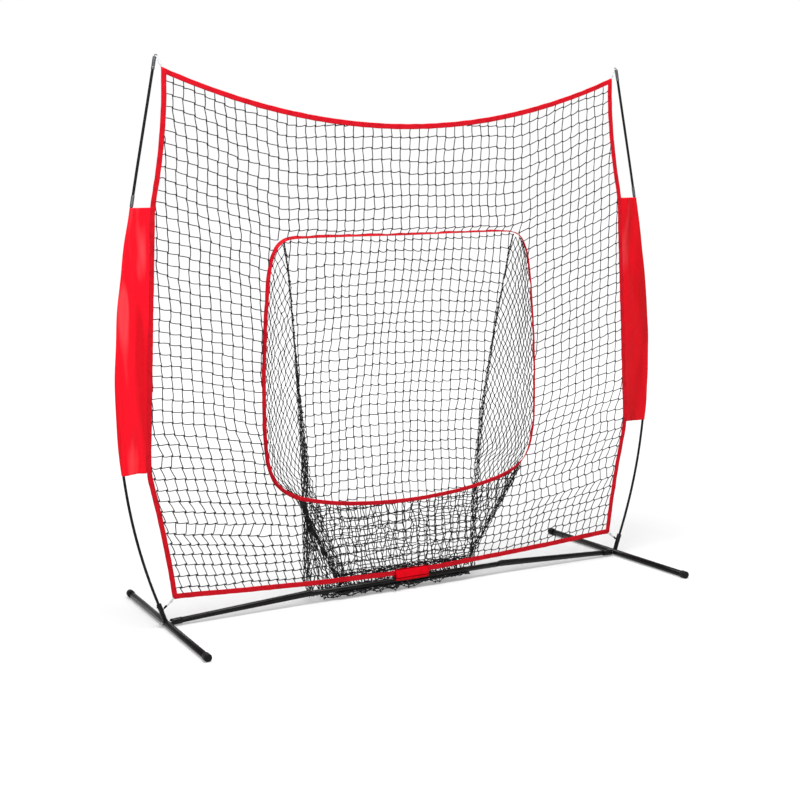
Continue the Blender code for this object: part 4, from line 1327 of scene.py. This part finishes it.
def seam_line(z, side):
    """Half width and depth of the pocket's back panel at height z. The slack left side runs further in."""
    z = np.asarray(z, float)
    drop = between(z, POCKET_TOP_Z, SEAM_LOW_Z)
    fall = np.clip((SEAM_LOW_Z - z) / 0.4, 0, 1.2)
    narrowing = np.where(np.asarray(side) < 0, 0.125 * fall ** 1.2, 0.055 * fall ** 1.3)
    half = np.where(z > SEAM_LOW_Z, SEAM_TOP_X - (SEAM_TOP_X - SEAM_LOW_X) * drop ** 0.8,
                    SEAM_LOW_X - narrowing)
    depth = np.where(z > SEAM_LOW_Z, POCKET_DEPTH * np.sin(0.5 * np.pi * drop) ** 1.2,
                     POCKET_DEPTH - 0.046 * fall ** 2)
    return half, POCKET_FRONT_Y + depth


def mouth_line(z, side):
    """Half width and depth of the pocket's front edge: the opening's side, then the bag's front seam."""
    z = np.asarray(z, float)
    bag_x = np.where(np.asarray(side) < 0, 0.260 + 0.525 * z, 0.290 + 0.605 * z)
    bag_y = POCKET_FRONT_Y + 0.034 * between(z, BAG_TOP_Z, 0.08) ** 1.2
    side_x = opening_half_width(np.clip(z, MOUTH_LOW_Z, 1.455))
    share = between(z, BAG_TOP_Z, BAG_TOP_Z + 0.05)
    return bag_x + (side_x - bag_x) * share, bag_y * (1 - share) + POCKET_FRONT_Y * share


def back_point(x, z):
    half, depth = seam_line(z, x)
    u = np.clip(np.abs(x) / half, 0, 1)
    belly = 0.018 * np.sin(np.pi * between(z, POCKET_TOP_Z, POCKET_TOP_Z - 1.2))
    return depth + belly * (1 - u * u)


def build_back_panel():
    """Square mesh from the opening's top edge down to the ground."""
    z_rows = np.arange(POCKET_TOP_Z - 0.002, 0.04, -0.0425)
    columns = np.arange(-14, 15) * 0.0392
    column, z = np.meshgrid(columns, z_rows)
    x = column * (1 - 0.06 * between(z, POCKET_TOP_Z, POCKET_TOP_Z - 1.0)) + 0.006
    z = z - 0.030 * (x / 0.5) ** 2 * between(z, 1.44, 1.34)
    x = x + 0.0035 * ripple(x, z, 0.30, 81) + rng.normal(0, 0.0013, x.shape)
    z = z + 0.0035 * ripple(x, z, 0.26, 82) + rng.normal(0, 0.0013, x.shape)
    x = x + between(z, 0.50, 0.10) * 0.012 * ripple(x, z, 0.12, 83)
    y = back_point(x, z) + 0.004 * ripple(x, z, 0.3, 84) * between(z, POCKET_TOP_Z, POCKET_TOP_Z - 0.2)
    grid = np.stack([x, y, z], -1)

    def inside(p):
        half, _ = seam_line(p[..., 2], p[..., 0])
        return (np.abs(p[..., 0]) < half) & (p[..., 2] < POCKET_TOP_Z + 0.014)
    level, upright, knots = square_mesh(grid, inside)
    top = grid[0][inside(grid[0])]
    reach, depth = binding_rear(top[:, 0], top[:, 2])
    rim = plan_point(top[:, 0], opening_top(top[:, 0]) + 0.5 * reach, depth + 0.002)
    strands = [(*level, np.array([0, 0, 0.0032]), (0.0008, 0.0008, 0.0016), 0.0032),
               (*upright, np.array([0.0014, 0, 0]), (0.0013, 0.0008, 0.0008), 0),
               (top, rim, 0, (0.001, 0.001, 0.0005), 0)]
    pocket_net("pocket_back_net", strands, knots, 200)


def side_panel_point(side, share, z):
    """A point on a side panel: share 0 at or outside the mouth, and 1 at the seam."""
    mouth_x, mouth_y = mouth_line(z, side)
    seam_x, seam_y = seam_line(z, side)
    widest = np.maximum(mouth_x, np.clip(0.632 - 0.30 * (0.70 - z), 0, 0.632))
    x = widest + (seam_x - widest) * share
    depth = np.clip((mouth_x - x) / np.maximum(mouth_x - seam_x, 0.01), 0, 1.1)
    bulge = 0.016 * np.sin(np.pi * np.clip(depth, 0, 1))
    y = mouth_y + (seam_y - mouth_y) * depth
    return np.stack([side * (x + bulge), y, z], -1), np.hypot(widest - seam_x, mouth_y - seam_y)


def build_side_panel(side_name, side):
    """Diamond mesh between the opening's side and the back panel's seam."""
    wide, tall = 36, 58       # half diamonds across and down
    across, down = np.meshgrid(np.arange(wide), np.arange(tall), indexing="ij")
    z = 1.440 - down * PANEL_DROP * 0.96
    _, width = side_panel_point(side, 0.0 * z, z)
    share = across * PANEL_STEP[side_name] / np.maximum(width, 0.02)
    z_moved = z + 0.004 * ripple(share, z, 0.15, 90 + side) + rng.normal(0, 0.0018, z.shape)
    point, _ = side_panel_point(side, share, z_moved)
    point = point + rng.normal(0, 0.0014, point.shape)
    valid = (share < 1.02) & (z > 0.045)
    even = (across + down) % 2 == 0
    starts, ends = [], []
    for step in (-1, 1):
        for i in range(wide):
            j = i + step
            if not 0 <= j < wide:
                continue
            ok = even[i, :-1] & valid[i, :-1] & (share[j, 1:] < 1.25)
            starts.append(point[i, :-1][ok])
            ends.append(point[j, 1:][ok])
    a, b = np.concatenate(starts), np.concatenate(ends)

    def inside(p):
        x, z = p[..., 0], p[..., 2]
        _, seam_y = seam_line(z, side)
        mouth_x, _ = mouth_line(z, side)
        reach, _ = binding_rear(x, z)
        rim = np.where(z > MOUTH_LOW_Z, reach - (0.006 if side < 0 else 0.001), 0.003)
        return (p[..., 1] < seam_y + 0.004) & (np.abs(x) < mouth_x + rim)
    strands = [(*clip_strands(a, b, inside), 0, (0.0014, 0.0012, 0.0010), 0)]
    knots = point[even & valid]
    pocket_net(f"pocket_{side_name}_net", strands, knots[inside(knots)], 300 + side,
               PANEL_TWINE_R[side_name], 0.0033)


def build_bag_front():
    """Front of the bag below the opening: slack square mesh from the opening's lower edge to the ground."""
    z_rows = np.arange(0.46, 0.03, -0.0430)
    columns = np.arange(-13, 14) * 0.0430
    column, z = np.meshgrid(columns, z_rows)
    x = column * (1 - 0.14 * between(z, BAG_TOP_Z, 0.04))
    x = x + 0.010 * ripple(x, z, 0.13, 86)
    z = z + 0.009 * ripple(x, z, 0.15, 87)
    _, y = mouth_line(z, x)
    y = y + 0.010 * between(z, 0.42, 0.32) * (0.6 + 0.6 * ripple(x, z, 0.12, 88))
    grid = np.stack([x, y, z], -1) + rng.normal(0, 0.0015, x.shape + (3,))

    def inside(p):
        half, _ = mouth_line(p[..., 2], p[..., 0])
        below = ~in_opening(p[..., 0], p[..., 2]) & (p[..., 2] < MOUTH_LOW_Z)
        return (np.abs(p[..., 0]) < half) & below
    level, upright, knots = square_mesh(grid, inside)
    sway = (0.0020, 0.0015, 0.0020)
    strands = [(*level, np.array([0, 0, 0.0020]), sway, 0.002), (*upright, 0, sway, 0)]
    pocket_net("pocket_front_net", strands, knots, 400)


def gathered_block(shape, first, last, strands, radii, seed):
    """Netting gathered between two paths: zigzag strands side by side, knotted where they meet."""
    local = np.random.default_rng(seed)
    run = path_run(first)
    at = np.arange(0, run[-1], 0.5 * PANEL_DROP)
    start, end = points_at(at, run, first), points_at(at, run, last)
    spacing = np.linalg.norm(end - start, axis=1) / (strands - 1)
    thickness = np.interp(at, run, radii)
    number = np.arange(len(at))
    for k in range(strands):
        beat = (number + 2 * (k % 2)) % 4
        share = (k + np.choose(beat, [0.5, 0.0, -0.5, 0.0])) / (strands - 1)
        line = start + (end - start) * share[:, None]
        line += local.normal(0, 1, line.shape) * (0.20 * spacing + 0.0013)[:, None]
        line[:, 2] = np.maximum(line[:, 2], 0.004)
        dense = 3 * len(line)
        radius = np.interp(np.linspace(0, 1, dense), np.linspace(0, 1, len(at)), thickness)
        tube_block(shape, smooth_line(line, dense)[None], radius[None] * local.uniform(0.85, 1.15), 5)
        knot_block(shape, line[beat == 0], KNOT_R * 0.85, seed * 17 + k)


def seam_piece(name, first, width, strands, radii, seed, last=None):
    """A gathered seam `width` wide beside a path, or between that path and another."""
    if last is None:
        shift = np.stack([0.5 * width, 0 * width, 0 * width], -1)
        first, last = first - shift, first + shift
    shape = Shape()
    gathered_block(shape, first, last, strands, np.broadcast_to(radii, len(first)), seed)
    shape.place(name, "seam", blend_pocket, "ball_pocket")


def front_seam(z, side):
    x, y = mouth_line(z, side)
    return plan_point(side * x, z, y + 0.004)


def build_seams():
    """Gathered seams beside the back panel and down the bag's front edges, and gathers at the ground."""
    for side_name, side in SIDES:
        z = np.linspace(POCKET_TOP_Z, 0.03, 70)
        half, depth = seam_line(z, side)
        low = between(z, 1.05, 0.45)
        width = 0.006 + (0.028 if side < 0 else 0.022) * low ** 1.3
        seam_piece(f"pocket_{side_name}_seam", plan_point(side * half, z, depth), width, 7,
                   0.0009 + 0.0006 * low, 501 + side)
        z = np.linspace(0.470, 0.04, 34)
        seam_piece(f"pocket_{side_name}_front_seam", front_seam(z, side), np.full(34, 0.024), 7,
                   0.0014, 521 + side)
    build_left_fold()
    x = np.linspace(-0.33, 0.30, 50)
    for name, first, last, seed in (("pocket_lower_gather", (0.034, 0.072), (0.016, 0.101), 560),
                                    ("pocket_under_bar", (0.014, 0.030), (-0.014, 0.027), 580)):
        first, last = (plan_point(x, height, depth) for depth, height in (first, last))
        seam_piece(name, first, None, 8, 0.0018, seed, last)


def build_left_fold():
    """The bag's slack left side: a fold that leaves the seam, and the netting between it and the front."""
    def pulled_in(z, amount):
        return amount * between(z, 0.075, 0.020)
    z = np.linspace(1.0, 0.016, 50)
    half, depth = seam_line(z, -1)
    high = between(z, 0.60, 0.85)
    fold = plan_point(-np.maximum(half, 0.437), z, 0.068 + (depth - 0.068) * high - pulled_in(z, 0.062))
    seam_piece("pocket_left_side_fold", fold, 0.006 + 0.018 * (1 - high), 8, 0.0016 - 0.0010 * high, 540)
    z = np.linspace(0.42, 0.02, 26)
    outer = plan_point(-0.434, z, 0.064 - pulled_in(z, 0.060))
    seam_piece("pocket_left_side_bag", outer, None, 16, 0.0019, 545, front_seam(z, -1))


def build_slump():
    """Slack netting that lies on the ground under the crossbar and joins the bag's front and back."""
    _, front_y = mouth_line(0.045, 1)
    _, back_y = seam_line(0.045, 1)
    line = [(float(back_y), 0.062), (0.052, 0.026), (0.022, 0.014), (-0.006, 0.013), (-0.020, 0.017),
            (-0.013, 0.024), (0.006, 0.022), (0.022, 0.034), (float(front_y) - 0.014, 0.060)]
    line = smooth_line(line, 10)
    step, column = np.meshgrid(np.arange(len(line)), np.arange(-19, 14) * 0.0205, indexing="ij")
    depth, height = line[step, 0], line[step, 1]
    x = column + 0.006 * ripple(column, step * 0.03, 0.08, 91)
    ends = between(np.abs(x), 0.40, 0.30)
    forward = 0.35 + 0.65 * ends * (0.75 + 0.3 * ripple(x, 0 * x, 0.2, 92))
    y = np.where(depth < 0.012, 0.012 + (depth - 0.012) * forward, depth)
    y = y + 0.005 * ripple(x, step * 0.03, 0.07, 93)
    z = height + 0.006 * ripple(x, step * 0.025, 0.06, 94) + 0.012 * between(x, 0, 0.25)
    under_bar = (np.abs(y) < 0.018) & (height < 0.034)
    z = np.where(under_bar, np.clip(z, 0.006, 0.031), np.maximum(z, 0.006))
    level, upright, knots = square_mesh(plan_point(x, z, y))
    sway = (0.002, 0.002, 0.0012)
    pick = np.random.default_rng(95).random(len(level[0])) < 0.75
    strands = [(level[0][pick], level[1][pick], 0, sway, 0), (*upright, 0, sway, 0)]
    pocket_net("pocket_floor_net", strands, knots, 600)


# ---------------------------------------------------------------- carried-over nodes, floor, light, camera

def finish_small_nodes():
    """Buttons, springs and plugs keep their CAD shape."""
    looks = {"snap_button": "zinc", "button_spring": "zinc", "stub_plug": "steel"}
    for name, obj in frame["nodes"].items():
        for ending, material in looks.items():
            if name.endswith(ending):
                obj.data.materials.clear()
                obj.data.materials.append(MATERIALS[material])


def build_stage():
    """A wide, flat, pale floor."""
    mesh = bpy.data.meshes.new("studio_floor")
    size = 60.0
    corners = [(-size, -size, 0), (size, -size, 0), (size, size, 0), (-size, size, 0)]
    mesh.from_pydata(corners, [], [(0, 1, 2, 3)])
    mesh.materials.append(floor_material())
    floor = bpy.data.objects.new("studio_floor", mesh)
    bpy.context.scene.collection.objects.link(floor)


def add_light(name, energy, size, location, target):
    data = bpy.data.lights.new(name, "AREA")
    data.energy = energy
    data.shape = "RECTANGLE"
    data.size, data.size_y = size
    light = bpy.data.objects.new(name, data)
    light.location = location
    light.rotation_euler = (Vector(target) - Vector(location)).to_track_quat("-Z", "Y").to_euler()
    bpy.context.scene.collection.objects.link(light)


def build_lights():
    """A white room: the camera sees it bright, and it lights the object gently."""
    world = bpy.data.worlds.new("studio")
    world.use_nodes = True
    tree = world.node_tree
    background = tree.nodes["Background"]
    background.inputs["Color"].default_value = (1, 1, 1, 1)
    path = tree.nodes.new("ShaderNodeLightPath")
    strength = spread_value(tree, path.outputs["Is Camera Ray"], 0.42, 1.0)
    tree.links.new(strength, background.inputs["Strength"])
    bpy.context.scene.world = world
    add_light("overhead", 330, (3.5, 2.5), (-1.0, -1.0, 5.2), (0, 0, 0.5))
    add_light("key", 120, (2.0, 1.6), (-4.2, -4.6, 3.2), (0, 0, 1.0))
    add_light("fill", 12, (2.5, 2.5), (4.0, -4.5, 2.4), (0, 0, 1.0))
    add_light("strip", 90, (1.4, 0.8), (2.1, -0.5, 5.0), (0, 0, 0))
    add_light("rim", 60, (3.0, 1.0), (0.5, 4.0, 3.6), (0, 0, 0.6))
    bpy.context.scene.view_settings.view_transform = "Standard"


def build_camera():
    sin, cos = math.sin, math.cos
    yaw, pitch, roll = CAMERA_YAW, CAMERA_PITCH, CAMERA_ROLL
    forward = Vector((sin(yaw) * cos(pitch), cos(yaw) * cos(pitch), sin(pitch)))
    right = Vector((cos(yaw), -sin(yaw), 0))
    up = right.cross(forward)
    right, up = cos(roll) * right + sin(roll) * up, cos(roll) * up - sin(roll) * right
    data = bpy.data.cameras.new("camera")
    data.lens = CAMERA_LENS
    data.clip_end = 60
    camera = bpy.data.objects.new("camera", data)
    turn = Matrix((right, up, -forward)).transposed().to_4x4()
    camera.matrix_world = Matrix.Translation(CAMERA_AT) @ turn
    bpy.context.scene.collection.objects.link(camera)
    bpy.context.scene.camera = camera


build_crossbar()
for side_name, side in SIDES:
    build_foot(side_name)
    build_hub(side_name, side)
    build_poles(side_name, side)
    build_cords(side_name, side)
    build_sleeve(side_name, side)
build_tapes()
build_binding()
build_strap()
build_main_net()
build_back_panel()
for side_name, side in SIDES:
    build_side_panel(side_name, side)
build_bag_front()
build_seams()
build_slump()
finish_small_nodes()
build_stage()
build_lights()
build_camera()
